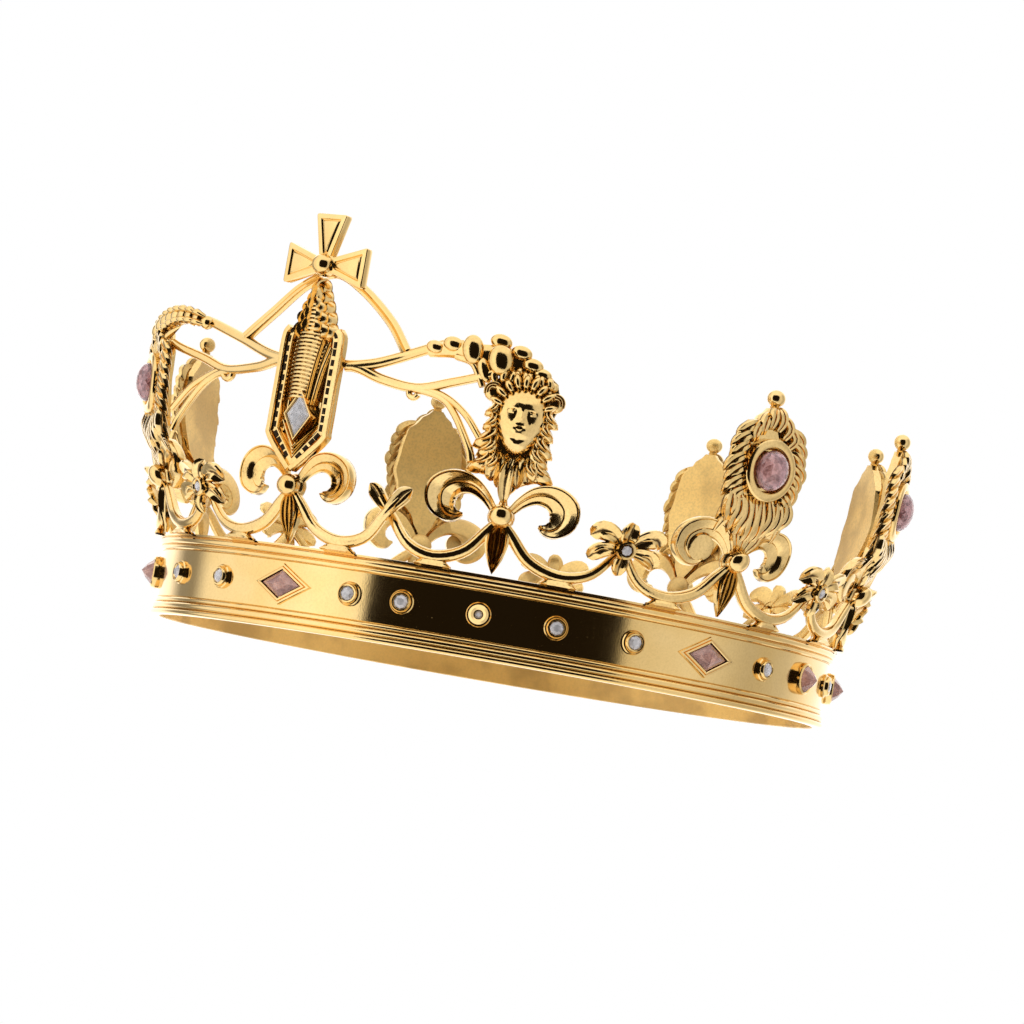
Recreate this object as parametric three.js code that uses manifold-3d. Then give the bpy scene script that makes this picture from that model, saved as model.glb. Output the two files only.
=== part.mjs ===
// Openwork jewelled crown: a moulded band set with stones, nine cast fleurons joined by scroll arms
// and flowers, and a cross carried over the tall front fleuron by two carriers and an arch.
// Millimetres, +Z up. The origin is the centre of the band's flat underside, the front faces -Y.
import * as THREE from "three";
import { mergeVertices } from "three/addons/utils/BufferGeometryUtils.js";
import Module from "manifold-3d";

const wasm = await Module();
wasm.setup();

// ---- driving dimensions -------------------------------------------------------------------------
const BAND_RADIUS = 93; // polished wall of the band, half way up
const BAND_HEIGHT = 21.8;
const BAND_INNER_RADIUS = 91;
const BAND_FACETS = 40;
const RIM_BEAD_RADIUS = 95; // the widest moulding, at the top of the band
const WALL_MID_HEIGHT = 11.4;
const GAP = 0.3; // clearance between pieces that touch

const LEAN = 9; // how far the fleurons lean out above LEAN_HEIGHT
const LEAN_HEIGHT = 42;
const CENTRE_LEAN = 2.2; // the centre fleuron stays nearly upright

const BALL = { y: 15, d: 3.6, radius: 3 };
const LEAF = { tip: 0.4, half: 3, widest: 7.8, top: 14.5, depth: 2.6 };
const VOLUTE = { x: 12, y: 18.4, radius: 6.7, depth: 3 };
const ARM = { radius: 1.55, lowest: 2.5, lowAt: 0.54, joinHeight: 11, short: 1.6, steps: 5, sides: 4 };
const NECK = { half: 1.9, bottom: 13.5, top: 25, depth: 3 };
const PAD = { width: 8, height: 1.9, depth: 2.8 };
const BUD = { reach: 4.4, height: 17.4, offset: 1.9 }; // an arm that crosses its neighbour ends here
const FLOWER = { y: 12, long: 10, tall: 7.2, back: 3.5, front: 5.6, petals: 6 };

const PLATE_THICKNESS = 3.4;
// Half width and height of the flame-edged plate, from its waist up to the finial's neck.
const PLATE_EDGE = [
  [2, 17],
  [4.4, 22],
  [11.6, 28.5],
  [10.8, 32],
  [11.4, 36],
  [10, 42],
  [9, 48.5],
  [6, 52],
  [2.4, 55.5],
];
const FINIAL = { y: 58.2, radius: 2.2 };
const BEZEL = { y: 39.4, a: 8.1, b: 8.6, inner: 0.76, depth: 6.2, facets: 8 };
const OVAL_STONE = { a: 5.8, b: 6.2, base: 3.7, top: 9 };

const FRAME = { half: 9.8, low: 28, high: 56.5, tip: 18.8, wall: 2.3, depth: 6 };
const HUSK = { half: 5.2, y: 61, tip: 69.6, depth: 5.2 };
const LOZENGE_CLEAR = { y: 33.3, half: 4.4, rise: 6.2, base: 4.9, top: 6.9 };
const CROSS = { y: 73, d: 4, arm: 13.6, waist: 1.5, end: 4.9, thickness: 2.6, ball: 2.9, foot: 2.4 };

const MANE = { x: 1.6, y: 38.5, half: 8.6, rise: 15, beard: 19.5, thickness: 3.6 };
const FACE = { x: 1.4, y: 38.8, half: 5.4, rise: 8.9, depth: 7 };
const CREST_BEADS = { count: 5, reach: 17.5, back: 4.5, radius: 3.4, stalk: 1.7 };

const LOZENGE = { half: 9.5, rise: 5.45, holeHalf: 6.4, holeRise: 3.7, rim: 1.1, sunk: -0.8 };
const PINK_STONE = { half: 5.7, rise: 3.3, base: 0.35, top: 1.9 };
const ROUND_CUP = { radius: 3.1, rim: 1.9, facets: 6 };
const ROUND_STONE = { radius: 1.8, rise: 0.9 };
const POINT_CUP = { radius: 4.3, rim: 2, facets: 4 };
const POINT_STONE = { radius: 3.7, rise: 2.7 };

// Turns are in degrees about +Z from the front (-Y), positive towards +X.
// The fleurons were spaced by eye, wider at the back.
const CENTRE_TURN = -36.3;
const LION_TURN = -2;
const LEFT_TURN = -75.7;
const JEWELLED_TURNS = [37.1, 76.9, 108, 147.3, 195.6, 245, LEFT_TURN];
const LOZENGE_TURNS = [-37, 37, 124, 180, 236];
const POINTED_TURNS = [-83, 63, 88];
const FRONT_ROUND_TURNS = [-65, -51, -24, -15, -2.6, 9.8, 22.8, 50.5, 78];
const BACK_ROUND_TURNS = [100, 112, 138, 152, 166, 194, 208, 222, 250, 264];

// ---- materials ----------------------------------------------------------------------------------
const gold = (name) => {
  const material = new THREE.MeshStandardMaterial({ color: 0xd9a441, roughness: 0.2, metalness: 1 });
  material.name = name;
  return material;
};
const stone = (name, color) => {
  const material = new THREE.MeshStandardMaterial({ color, roughness: 0.05, metalness: 0 });
  material.name = name;
  return material;
};

// ---- solids -------------------------------------------------------------------------------------
const radians = THREE.MathUtils.degToRad;

function toSolid(geometry) {
  const bare = geometry.clone();
  bare.deleteAttribute("normal");
  bare.deleteAttribute("uv");
  const merged = mergeVertices(bare, 1e-4);
  return new wasm.Manifold(
    new wasm.Mesh({
      numProp: 3,
      vertProperties: new Float32Array(merged.attributes.position.array),
      triVerts: new Uint32Array(merged.index.array),
    }),
  );
}

function toGeometry(solid) {
  const mesh = solid.getMesh();
  const geometry = new THREE.BufferGeometry();
  geometry.setAttribute("position", new THREE.BufferAttribute(mesh.vertProperties, 3));
  geometry.setIndex(new THREE.BufferAttribute(mesh.triVerts, 1));
  return geometry;
}

const join = (geometries) => toGeometry(geometries.map(toSolid).reduce((all, next) => all.add(next)));

const easeInOut = (t) => {
  const u = THREE.MathUtils.clamp(t, 0, 1);
  return u * u * (3 - 2 * u);
};

// A flat design holds x along the band, y up from its top edge and d outwards.
// It is rolled round the band's circle at `height`, and leans out by at most `lean`.
function rollRound(geometry, height = BAND_HEIGHT, lean = LEAN) {
  const rolled = geometry.clone();
  const at = rolled.attributes.position;
  for (let i = 0; i < at.count; i += 1) {
    const angle = at.getX(i) / BAND_RADIUS;
    const out = Math.min(lean, LEAN * easeInOut(at.getY(i) / LEAN_HEIGHT));
    const radius = BAND_RADIUS + at.getZ(i) + out;
    at.setXYZ(i, radius * Math.sin(angle), -radius * Math.cos(angle), height + at.getY(i));
  }
  return rolled;
}

function extrude(outline, from, to) {
  const shape = new THREE.Shape(outline.map(([x, y]) => new THREE.Vector2(x, y)));
  const geometry = new THREE.ExtrudeGeometry(shape, { depth: to - from, bevelEnabled: false });
  return geometry.translate(0, 0, from);
}

function extrudeRing(outline, hole, from, to) {
  const shape = new THREE.Shape(outline.map(([x, y]) => new THREE.Vector2(x, y)));
  shape.holes.push(new THREE.Path(hole.map(([x, y]) => new THREE.Vector2(x, y))));
  const geometry = new THREE.ExtrudeGeometry(shape, { depth: to - from, bevelEnabled: false });
  return geometry.translate(0, 0, from);
}

// A point on the rim of an ellipse for each of `count` steps.
const ellipse = (cx, cy, a, b, count) =>
  Array.from({ length: count }, (_, i) => {
    const angle = (2 * Math.PI * i) / count;
    return [cx + a * Math.cos(angle), cy + b * Math.sin(angle)];
  });

const lozenge = (cx, cy, half, rise) => [
  [cx + half, cy],
  [cx, cy + rise],
  [cx - half, cy],
  [cx, cy - rise],
];

function ball(x, y, d, radius, across = 8, down = 6) {
  return new THREE.SphereGeometry(radius, across, down).translate(x, y, d);
}

function rod(points, radius, steps, sides = ARM.sides) {
  const curve = new THREE.CatmullRomCurve3(points.map((p) => new THREE.Vector3(...p)));
  const section = new THREE.Shape(
    ellipse(0, 0, radius, radius, sides).map(([x, y]) => new THREE.Vector2(x, y)),
  );
  return new THREE.ExtrudeGeometry(section, { steps, bevelEnabled: false, extrudePath: curve });
}

// A low faceted stone or cup top: an outline drawn in to a point or a small table.
function facetedStone(outline, base, top, table) {
  const centre = outline.reduce(([sx, sy], [x, y]) => [sx + x, sy + y], [0, 0]);
  const [cx, cy] = centre.map((sum) => sum / outline.length);
  const positions = [];
  const inward = ([x, y]) => [cx + (x - cx) * table, cy + (y - cy) * table, top];
  outline.forEach(([x, y], i) => {
    const [nx, ny] = outline[(i + 1) % outline.length];
    const a = [x, y, base];
    const b = [nx, ny, base];
    positions.push(...a, ...b, ...inward([nx, ny]));
    positions.push(...b, ...a, cx, cy, base);
    if (table > 0) {
      positions.push(...a, ...inward([nx, ny]), ...inward([x, y]));
      positions.push(...inward([x, y]), ...inward([nx, ny]), cx, cy, top);
    }
  });
  const geometry = new THREE.BufferGeometry();
  geometry.setAttribute("position", new THREE.Float32BufferAttribute(positions, 3));
  return geometry;
}

// ---- the band -----------------------------------------------------------------------------------
// Outside from the foot up: two foot beads and a fillet, the wall, a fillet and two rim beads.
function bandProfile() {
  const wallFoot = BAND_RADIUS - 0.15;
  const wallHead = BAND_RADIUS + 0.2;
  return [
    [BAND_INNER_RADIUS, 0],
    [94, 0],
    [94.4, 1.8],
    [wallFoot, 5],
    [wallHead, 17.4],
    [94.4, 18.3],
    [RIM_BEAD_RADIUS, 20.2],
    [94.2, BAND_HEIGHT],
    [BAND_INNER_RADIUS, BAND_HEIGHT],
  ];
}

const onWall = (geometry, turn) =>
  rollRound(geometry, WALL_MID_HEIGHT, 0).rotateZ(radians(turn));

function lozengeCollet() {
  return extrudeRing(
    lozenge(0, 0, LOZENGE.half, LOZENGE.rise),
    lozenge(0, 0, LOZENGE.holeHalf, LOZENGE.holeRise),
    LOZENGE.sunk,
    LOZENGE.rim,
  );
}

const cup = ({ radius, rim, facets }) =>
  extrude(ellipse(0, 0, radius, radius, facets), LOZENGE.sunk, rim);

function makeBand() {
  const profile = bandProfile().map(([r, z]) => new THREE.Vector2(r, z));
  profile.push(profile[0].clone());
  const ring = new THREE.LatheGeometry(profile, BAND_FACETS).rotateX(Math.PI / 2);
  const settings = [
    ...LOZENGE_TURNS.map((turn) => onWall(lozengeCollet(), turn)),
    ...POINTED_TURNS.map((turn) => onWall(cup(POINT_CUP), turn)),
    ...[...FRONT_ROUND_TURNS, ...BACK_ROUND_TURNS].map((turn) => onWall(cup(ROUND_CUP), turn)),
  ];
  return join([ring, ...settings]);
}

// ---- parts that every fleuron shares --------------------------------------------------------------
function leaf() {
  const { tip, half, widest, top, depth } = LEAF;
  return facetedStone(
    [
      [0, tip],
      [half, widest],
      [half * 0.5, top],
      [-half * 0.5, top],
      [-half, widest],
    ],
    0.2,
    depth,
    0,
  );
}

// One flattened scroll: an outer circle, and an inner one that closes on it at both ends.
function volute(side) {
  const { x, y, radius, depth } = VOLUTE;
  const from = radians(25);
  const to = radians(315);
  const outer = [];
  const inner = [];
  const steps = 5;
  for (let i = 0; i <= steps; i += 1) {
    const angle = from + ((to - from) * i) / steps;
    const width = 1.9 + 2.9 * Math.sin((Math.PI * i) / steps) ** 2;
    const reach = radius - width;
    outer.push([-x + radius * Math.cos(angle), y + radius * Math.sin(angle)]);
    inner.unshift([-x + 0.8 + reach * Math.cos(angle), y + reach * Math.sin(angle)]);
  }
  const neck = [
    [-1, BALL.y - 1.5],
    [-1.2, BALL.y + 2],
  ];
  const outline = [...neck, ...outer, ...inner];
  const turned = side < 0 ? outline : outline.map(([px, py]) => [-px, py]).reverse();
  return extrude(turned, 0, depth);
}

// A scroll arm from the ball down to the band and up to its end.
// It stops at the flower, or crosses the next arm at d = offset and ends in a bud.
function arm(side, halfSpan, budOffset) {
  const { radius, lowest, lowAt, joinHeight, short, steps } = ARM;
  const low = halfSpan * lowAt;
  const points = [
    [0.5, BALL.y - 1, 1.5],
    [low * 0.42, lowest + 3.4, 1.5],
    [low, lowest, 1.5],
    [low + (halfSpan - low) * 0.62, lowest + 3.2, 1.5],
  ];
  if (budOffset === undefined) {
    points.push([halfSpan - short, joinHeight, 1.5]);
  } else {
    points.push([halfSpan, joinHeight + 1, 1.5 + budOffset]);
    points.push([halfSpan + BUD.reach, BUD.height, 1.5 + budOffset]);
  }
  return rod(points.map(([x, y, d]) => [side * x, y, d]), radius, steps);
}

function pad(x) {
  const { width, height, depth } = PAD;
  const half = width / 2;
  const foot = [
    [x - half, GAP],
    [x + half, GAP],
    [x + half * 0.6, height],
    [x - half * 0.6, height],
  ];
  return extrude(foot, 0.1, depth);
}

// Joins the ball to the carved top above it.
function neck() {
  const { half, bottom, top, depth } = NECK;
  return extrude(lozenge(0, (bottom + top) / 2, half, (top - bottom) / 2), 0.3, depth);
}

function fleuronBase(spans, buds = {}) {
  return [
    leaf(),
    neck(),
    ball(0, BALL.y, BALL.d, BALL.radius, 6, 4),
    volute(-1),
    volute(1),
    arm(-1, spans.left, buds.left),
    arm(1, spans.right, buds.right),
    pad(-spans.left * ARM.lowAt),
    pad(spans.right * ARM.lowAt),
  ];
}

// Beads that grow along the top and curl in towards the carrier. `side` is where they lead.
function crestBeads(side) {
  const { count, reach, back, radius, stalk } = CREST_BEADS;
  const along = Array.from({ length: count }, (_, i) => i / (count - 1));
  const centres = along.map((t) => [
    side * (reach * t - back * (1 - t)),
    53.5 + 4.2 * Math.sin(Math.PI * (0.15 + 0.65 * t)),
    1.8 - 4.6 * t * t,
  ]);
  const beads = centres.map((centre, i) => ball(...centre, radius * (1 - 0.2 * along[i]), 5, 3));
  return [rod(centres, stalk, count - 1, 4), ...beads];
}

// ---- the three kinds of fleuron -------------------------------------------------------------------
function flamePlate() {
  const left = PLATE_EDGE.map(([x, y]) => [-x, y]).reverse();
  return extrude([...PLATE_EDGE, ...left], 0, PLATE_THICKNESS);
}

function jewelledTop(crestSide) {
  const { y, a, b, inner, depth, facets } = BEZEL;
  const hole = ellipse(0, y, a * inner, b * inner, facets);
  const bezel = extrudeRing(ellipse(0, y, a, b, facets), hole, PLATE_THICKNESS - 0.4, depth);
  const top = crestSide
    ? crestBeads(crestSide)
    : [ball(0, FINIAL.y, 1.8, FINIAL.radius, 6, 4), extrude(lozenge(0, 55.5, 1.4, 2.4), 0.8, 2.8)];
  return [flamePlate(), bezel, ...top];
}

function ovalStone() {
  const rim = ellipse(0, BEZEL.y, OVAL_STONE.a, OVAL_STONE.b, BEZEL.facets);
  return facetedStone(rim, OVAL_STONE.base, OVAL_STONE.top, 0.45);
}

// A long six-sided tray with an open top, a ribbed column in it and a husk that tapers to the cross.
function centreTop() {
  const { half, low, high, tip, wall, depth } = FRAME;
  const outer = [
    [0, tip],
    [half, low],
    [half, high - 3],
    [half - 2.4, high],
    [-half + 2.4, high],
    [-half, high - 3],
    [-half, low],
  ];
  const hollow = [
    [0, tip + wall * 1.6],
    [half - wall, low + 1],
    [half - wall, high + 1],
    [-half + wall, high + 1],
    [-half + wall, low + 1],
  ];
  const tray = toSolid(extrude(outer, 0, depth));
  const cut = toSolid(extrude(hollow, 1.4, depth + 1));
  const column = extrude(
    [
      [0, 36],
      [3.4, 43],
      [4, 57],
      [-4, 57],
      [-4, 43],
    ],
    1,
    4.6,
  );
  const husk = facetedStone(
    [
      [-HUSK.half, 56],
      [HUSK.half, 56],
      [HUSK.half, HUSK.y],
      [1.2, HUSK.tip],
      [-1.2, HUSK.tip],
      [-HUSK.half, HUSK.y],
    ],
    0,
    HUSK.depth,
    0.5,
  );
  return [toGeometry(tray.subtract(cut)), column, husk];
}

function clearLozenge() {
  const { y, half, rise, base, top } = LOZENGE_CLEAR;
  return facetedStone(lozenge(0, y, half, rise), base, top, 0.4);
}

// The lion's mask: a mane of pointed locks, a muzzle and brow over an oval face, and a beard.
function lionTop() {
  const { x, y, half, rise, beard, thickness } = MANE;
  const locks = 18;
  const mane = Array.from({ length: locks }, (_, i) => {
    const angle = (2 * Math.PI * i) / locks - Math.PI / 2;
    const reach = i % 2 === 0 ? 1.05 : 0.94;
    const drop = i === 0 ? y - beard - rise : 0;
    return [x + half * reach * Math.cos(angle), y + rise * reach * Math.sin(angle) - drop];
  });
  const face = facetedStone(ellipse(FACE.x, FACE.y, FACE.half, FACE.rise, 10), 3, FACE.depth, 0.55);
  const muzzle = facetedStone(ellipse(FACE.x, FACE.y - 3.4, 3, 3.6, 8), 5.5, FACE.depth + 1.4, 0.5);
  const brow = facetedStone(ellipse(FACE.x, FACE.y + 3.8, 3.8, 1.6, 8), 5.5, FACE.depth + 0.8, 0.5);
  const backing = extrude(ellipse(MANE.x, 50, 6.5, 6, 8), 0.2, thickness - 0.2);
  return [extrude(mane, 0, thickness), face, muzzle, brow, backing, ...crestBeads(-1)];
}

// ---- flowers, cross, carriers and arch ------------------------------------------------------------
function flower() {
  const points = [];
  const steps = FLOWER.petals * 2;
  for (let i = 0; i < steps; i += 1) {
    const angle = (2 * Math.PI * i) / steps + Math.PI / 2;
    const reach = i % 2 === 0 ? 1 : 0.45;
    points.push([
      FLOWER.long * reach * Math.cos(angle),
      FLOWER.y + FLOWER.tall * reach * Math.sin(angle),
    ]);
  }
  return facetedStone(points, FLOWER.back, FLOWER.front, 0);
}

function crossPattee() {
  const { y, d, arm: length, waist, end, thickness, ball: radius, foot } = CROSS;
  const front = d + thickness / 2;
  const back = d - thickness / 2;
  const pattee = (turn) => {
    const outline = [
      [0, -waist],
      [length, -end],
      [length, end],
      [0, waist],
    ];
    const rotated = outline.map(([px, py]) => {
      const c = Math.cos(turn);
      const s = Math.sin(turn);
      return [px * c - py * s, y + px * s + py * c];
    });
    return extrude(rotated, back, front);
  };
  const stem = extrude(
    [
      [-1.3, HUSK.tip + GAP],
      [1.3, HUSK.tip + GAP],
      [foot / 2, y],
      [-foot / 2, y],
    ],
    back,
    front,
  );
  return join([
    pattee(0),
    pattee(Math.PI / 2),
    pattee(Math.PI),
    stem,
    ball(0, y, d + 0.8, radius, 7, 4),
  ]);
}

// A point of the carriers and the arch: turn in degrees, radius, height.
function onRing(turn, radius, height) {
  const angle = radians(turn);
  return [radius * Math.sin(angle), -radius * Math.cos(angle), height];
}

// Carriers run from the centre fleuron's frame to a neighbour's crest beads, along the chord.
// Their lower branches land on that neighbour's edge, `high` and `low` times as far along.
const CARRIERS = {
  left: { side: -1, from: CENTRE_TURN - 6.6, to: LEFT_TURN + 12.5, high: 1.28, low: 1.19 },
  right: { side: 1, from: CENTRE_TURN + 6.6, to: LION_TURN - 12.5, high: 1.43, low: 1.41 },
};

function carrierPoint({ from, to }, along, height) {
  const radius = 96 + 5.5 * along - 4.4 * Math.sin(Math.PI * Math.min(along / 1.45, 1));
  return onRing(from + (to - from) * along, radius, height);
}

function carrier(ends) {
  const run = (stations, radius, steps) =>
    rod(stations.map(([along, height]) => carrierPoint(ends, along, height)), radius, steps, 4);
  const { high, low } = ends;
  return join([
    run([[0, 69.8], [0.3, 71.6], [0.6, 74.6], [0.95, 78.2]], 1.6, 5),
    run([[0.08, 69.4], [0.36, 67.2], [0.75, 66.3], [high * 0.8, 68.8], [high, 71]], 1.25, 6),
    run([[0.7, 66.2], [low * 0.74, 63.6], [low * 0.91, 58.6], [low, 51]], 1.1, 5),
    ball(...carrierPoint(ends, 0.7, 65), 1.6, 5, 3),
  ]);
}

// The arch bends from one carrier up behind the cross and down to the other.
function arch() {
  const half = (ends) => [
    carrierPoint(ends, 0.56, 77.2),
    onRing(CENTRE_TURN + ends.side * 12.3, 94, 82.5),
    onRing(CENTRE_TURN + ends.side * 6, 94, 90),
  ];
  const top = onRing(CENTRE_TURN, 94, 93.6);
  const points = [...half(CARRIERS.left), top, ...half(CARRIERS.right).reverse()];
  return rod(points, 1.3, 10, 4);
}

// ---- assembly -------------------------------------------------------------------------------------
const crown = new THREE.Group();

function add(name, geometry, material, turn = 0) {
  const mesh = new THREE.Mesh(geometry, material);
  mesh.name = name;
  mesh.rotation.z = radians(turn);
  crown.add(mesh);
}

add("band", makeBand(), gold("polished_gold"));

// Fleurons in order round the ring, with the half distance to each neighbour along the band.
const fleurons = [
  { name: "fleuron_centre", turn: CENTRE_TURN },
  { name: "fleuron_lion", turn: LION_TURN },
  ...JEWELLED_TURNS.map((turn, i) => ({ name: `fleuron_jewelled_${i + 1}`, turn })),
].sort((one, other) => one.turn - other.turn);

const around = (index) => (index + fleurons.length) % fleurons.length;
const spacing = (index) => {
  const here = fleurons[around(index)].turn;
  const next = fleurons[around(index + 1)].turn;
  return (next - here + 360) % 360;
};
const halfSpan = (index) => (radians(spacing(around(index))) * BAND_RADIUS) / 2;

let flowers = 0;
fleurons.forEach(({ name, turn }, index) => {
  const spans = { left: halfSpan(index - 1), right: halfSpan(index) };
  let pieces;
  let lean = LEAN;
  if (name === "fleuron_centre") {
    pieces = [...fleuronBase(spans, { right: BUD.offset }), ...centreTop()];
    lean = CENTRE_LEAN;
  } else if (name === "fleuron_lion") {
    pieces = [...fleuronBase(spans, { left: -BUD.offset }), ...lionTop()];
  } else {
    const crestSide = turn === LEFT_TURN ? 1 : 0;
    pieces = [...fleuronBase(spans), ...jewelledTop(crestSide)];
    const number = name.split("_").pop();
    add(`oval_stone_${number}`, rollRound(ovalStone()), stone("violet_pink_stone", 0xb07a8c), turn);
  }
  add(name, rollRound(join(pieces), BAND_HEIGHT, lean), gold("antiqued_gold"), turn);
  if (name !== "fleuron_centre") {
    flowers += 1;
    const middle = turn + spacing(index) / 2;
    add(`flower_${flowers}`, rollRound(flower()), gold("antiqued_gold"), middle);
  }
});

const onCentre = (geometry) => rollRound(geometry, BAND_HEIGHT, CENTRE_LEAN);
add("centre_stone", onCentre(clearLozenge()), stone("clear_stone", 0xdcd8ea), CENTRE_TURN);
add("cross", onCentre(crossPattee()), gold("polished_gold"), CENTRE_TURN);
add("carrier_left", carrier(CARRIERS.left), gold("polished_gold"));
add("carrier_right", carrier(CARRIERS.right), gold("polished_gold"));
add("arch", arch(), gold("polished_gold"));

LOZENGE_TURNS.forEach((turn, i) => {
  const { half, rise, base, top } = PINK_STONE;
  const jewel = facetedStone(lozenge(0, 0, half, rise), base, top, 0);
  add(`lozenge_stone_${i + 1}`, onWall(jewel, turn), stone("pink_stone", 0xc98a92));
});

POINTED_TURNS.forEach((turn, i) => {
  const { radius, rise } = POINT_STONE;
  const base = POINT_CUP.rim + GAP;
  const jewel = facetedStone(ellipse(0, 0, radius, radius, POINT_CUP.facets), base, base + rise, 0);
  add(`pointed_stone_${i + 1}`, onWall(jewel, turn), stone("pink_stone", 0xc98a92));
});

[...FRONT_ROUND_TURNS, ...BACK_ROUND_TURNS].forEach((turn, i) => {
  const { radius, rise } = ROUND_STONE;
  const base = ROUND_CUP.rim + GAP;
  const jewel = facetedStone(ellipse(0, 0, radius, radius, ROUND_CUP.facets), base, base + rise, 0);
  add(`round_stone_${i + 1}`, onWall(jewel, turn), stone("clear_stone", 0xdcd8ea));
});

export default crown;
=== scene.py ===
"""Openwork jewelled crown: the finished surfaces, stones and studio, laid out as an add-on.

Every ornament is drawn flat in millimetres, with x along the band, y up from the band's top edge and
z outwards, and is then rolled round the band into the crown's own frame in metres.
"""

import math
import random

import bmesh
import bpy
from mathutils import Matrix, Vector


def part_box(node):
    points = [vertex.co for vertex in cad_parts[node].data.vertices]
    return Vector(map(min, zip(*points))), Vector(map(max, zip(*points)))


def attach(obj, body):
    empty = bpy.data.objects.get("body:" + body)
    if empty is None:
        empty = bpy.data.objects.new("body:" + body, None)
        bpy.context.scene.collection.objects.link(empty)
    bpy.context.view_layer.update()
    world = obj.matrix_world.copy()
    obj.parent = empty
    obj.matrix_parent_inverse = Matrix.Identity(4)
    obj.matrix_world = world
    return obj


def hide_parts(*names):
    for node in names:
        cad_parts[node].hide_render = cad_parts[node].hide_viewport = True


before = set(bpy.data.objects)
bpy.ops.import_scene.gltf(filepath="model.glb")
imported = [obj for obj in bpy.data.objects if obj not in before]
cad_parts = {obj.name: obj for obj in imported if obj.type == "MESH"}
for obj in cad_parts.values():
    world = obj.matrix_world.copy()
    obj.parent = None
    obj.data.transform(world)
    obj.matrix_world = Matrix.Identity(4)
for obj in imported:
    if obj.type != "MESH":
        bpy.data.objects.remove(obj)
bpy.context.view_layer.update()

bl_info = {
    "name": "Openwork jewelled crown",
    "version": (1, 0, 0),
    "blender": (4, 5, 0),
    "location": "View3D > Sidebar > Crown",
    "description": "Builds a jewelled crown with cast fleurons, and the studio it stands in",
    "category": "Add Mesh",
}

# ---- sizes taken from the frame ------------------------------------------------------------------
MM = 0.001
BAND_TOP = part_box("band")[1].z / MM
RIM_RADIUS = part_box("band")[1].y / MM
WALL_RADIUS = RIM_RADIUS - 2.0
INNER_RADIUS = RIM_RADIUS - 4.0
WALL_MID = 11.4


def turn_of(node):
    """Degrees about +Z from the front (-Y), positive towards +X, of a node's middle."""
    low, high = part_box(node)
    middle = (low + high) / 2
    return math.degrees(math.atan2(middle.x, -middle.y))


def turns_of(stem):
    """The turns of all the nodes of one kind, in the order of their numbers."""
    names = [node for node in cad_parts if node.rsplit("_", 1)[0] == stem]
    return [turn_of(f"{stem}_{i + 1}") for i in range(len(names))]


def is_pierced(turn):
    """Whether a bezel is the one within 4 degrees of the front, which has only a pinhole."""
    return abs(turn) < 4


CENTRE_TURN = turn_of("centre_stone")
JEWELLED_TURNS = turns_of("oval_stone")
LEFT_TURN = JEWELLED_TURNS[-1]
FLOWER_TURNS = turns_of("flower")
LION_TURN = 2 * FLOWER_TURNS[1] - JEWELLED_TURNS[0]
FLEURON_TURNS = sorted(turn % 360 for turn in [CENTRE_TURN, LION_TURN, *JEWELLED_TURNS])

# ---- shape of the flat design, in millimetres ----------------------------------------------------
# How far a fleuron's top leans out, where the lean ends, and the most for the centre fleuron.
LEAN = 9.0
LEAN_HEIGHT = 42.0
CENTRE_LEAN = 2.2
BALL_Y = 15.0
BALL_OUT = 3.6
# Where an arm touches the band, as a share of its half span.
ARM_LOW_SHARE = 0.54
# (half width, height) from the foot up.
PLATE_EDGE = [
    (1.6, 17), (4.0, 22), (8.4, 28.2), (9.4, 32), (10.4, 36), (9.6, 42), (8.8, 48), (5.6, 52), (2.2, 55.5)
]
MANE_EDGE = [
    (0.6, 19.8), (2.4, 23), (6.4, 25), (8.4, 27), (8.0, 33), (7.0, 40), (8.2, 46), (7.0, 50), (4.4, 52.5)
]
BEZEL_Y = 39.4
HUSK_TIP = 69.6
CLEAR_STONE_Y = 33.3
LOZENGE_SHAPE = (0.84, 1.36, 1)
CROSS_Y, CROSS_OUT = 73.0, 4.0
FACE_X, FACE_Y = 1.0, 39.2
FLOWER_Y = 12.0


# ---- drawing kit: flat castings -------------------------------------------------------------------
def ease(t):
    """0 up to t = 0, 1 from t = 1 on, and a smooth rise between them."""
    t = min(max(t, 0.0), 1.0)
    return t * t * (3 - 2 * t)


def curve_through(points, count):
    """`count` + 1 points on a smooth line through the given ones."""
    points = [Vector(p) for p in points]
    line = [2 * points[0] - points[1], *points, 2 * points[-1] - points[-2]]
    spans = len(points) - 1
    found = []
    for i in range(count + 1):
        where = spans * i / count
        k = min(int(where), spans - 1)
        t = where - k
        a, b, c, d = line[k : k + 4]
        bend = (2 * a - 5 * b + 4 * c - d) * t * t + (3 * b - a - 3 * c + d) * t**3
        found.append(0.5 * (2 * b + (c - a) * t + bend))
    return found


def round_section(sides, dark=0.35):
    """A round bar; its underside, towards the wall, is painted a little darker than its crest: patina and
    painted shade.
    """
    turns = [2 * math.pi * i / sides for i in range(sides)]
    return [(math.cos(a), math.sin(a), 1 - dark * (1 - math.sin(a)) / 2) for a in turns]


def mirrored_section(half, back=()):
    """A closed section from its right half, drawn from the right edge up to the middle, and its back."""
    left = [(-across, out, worth) for across, out, worth in reversed(half) if across > 0]
    return [*half, *left, *back]
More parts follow.
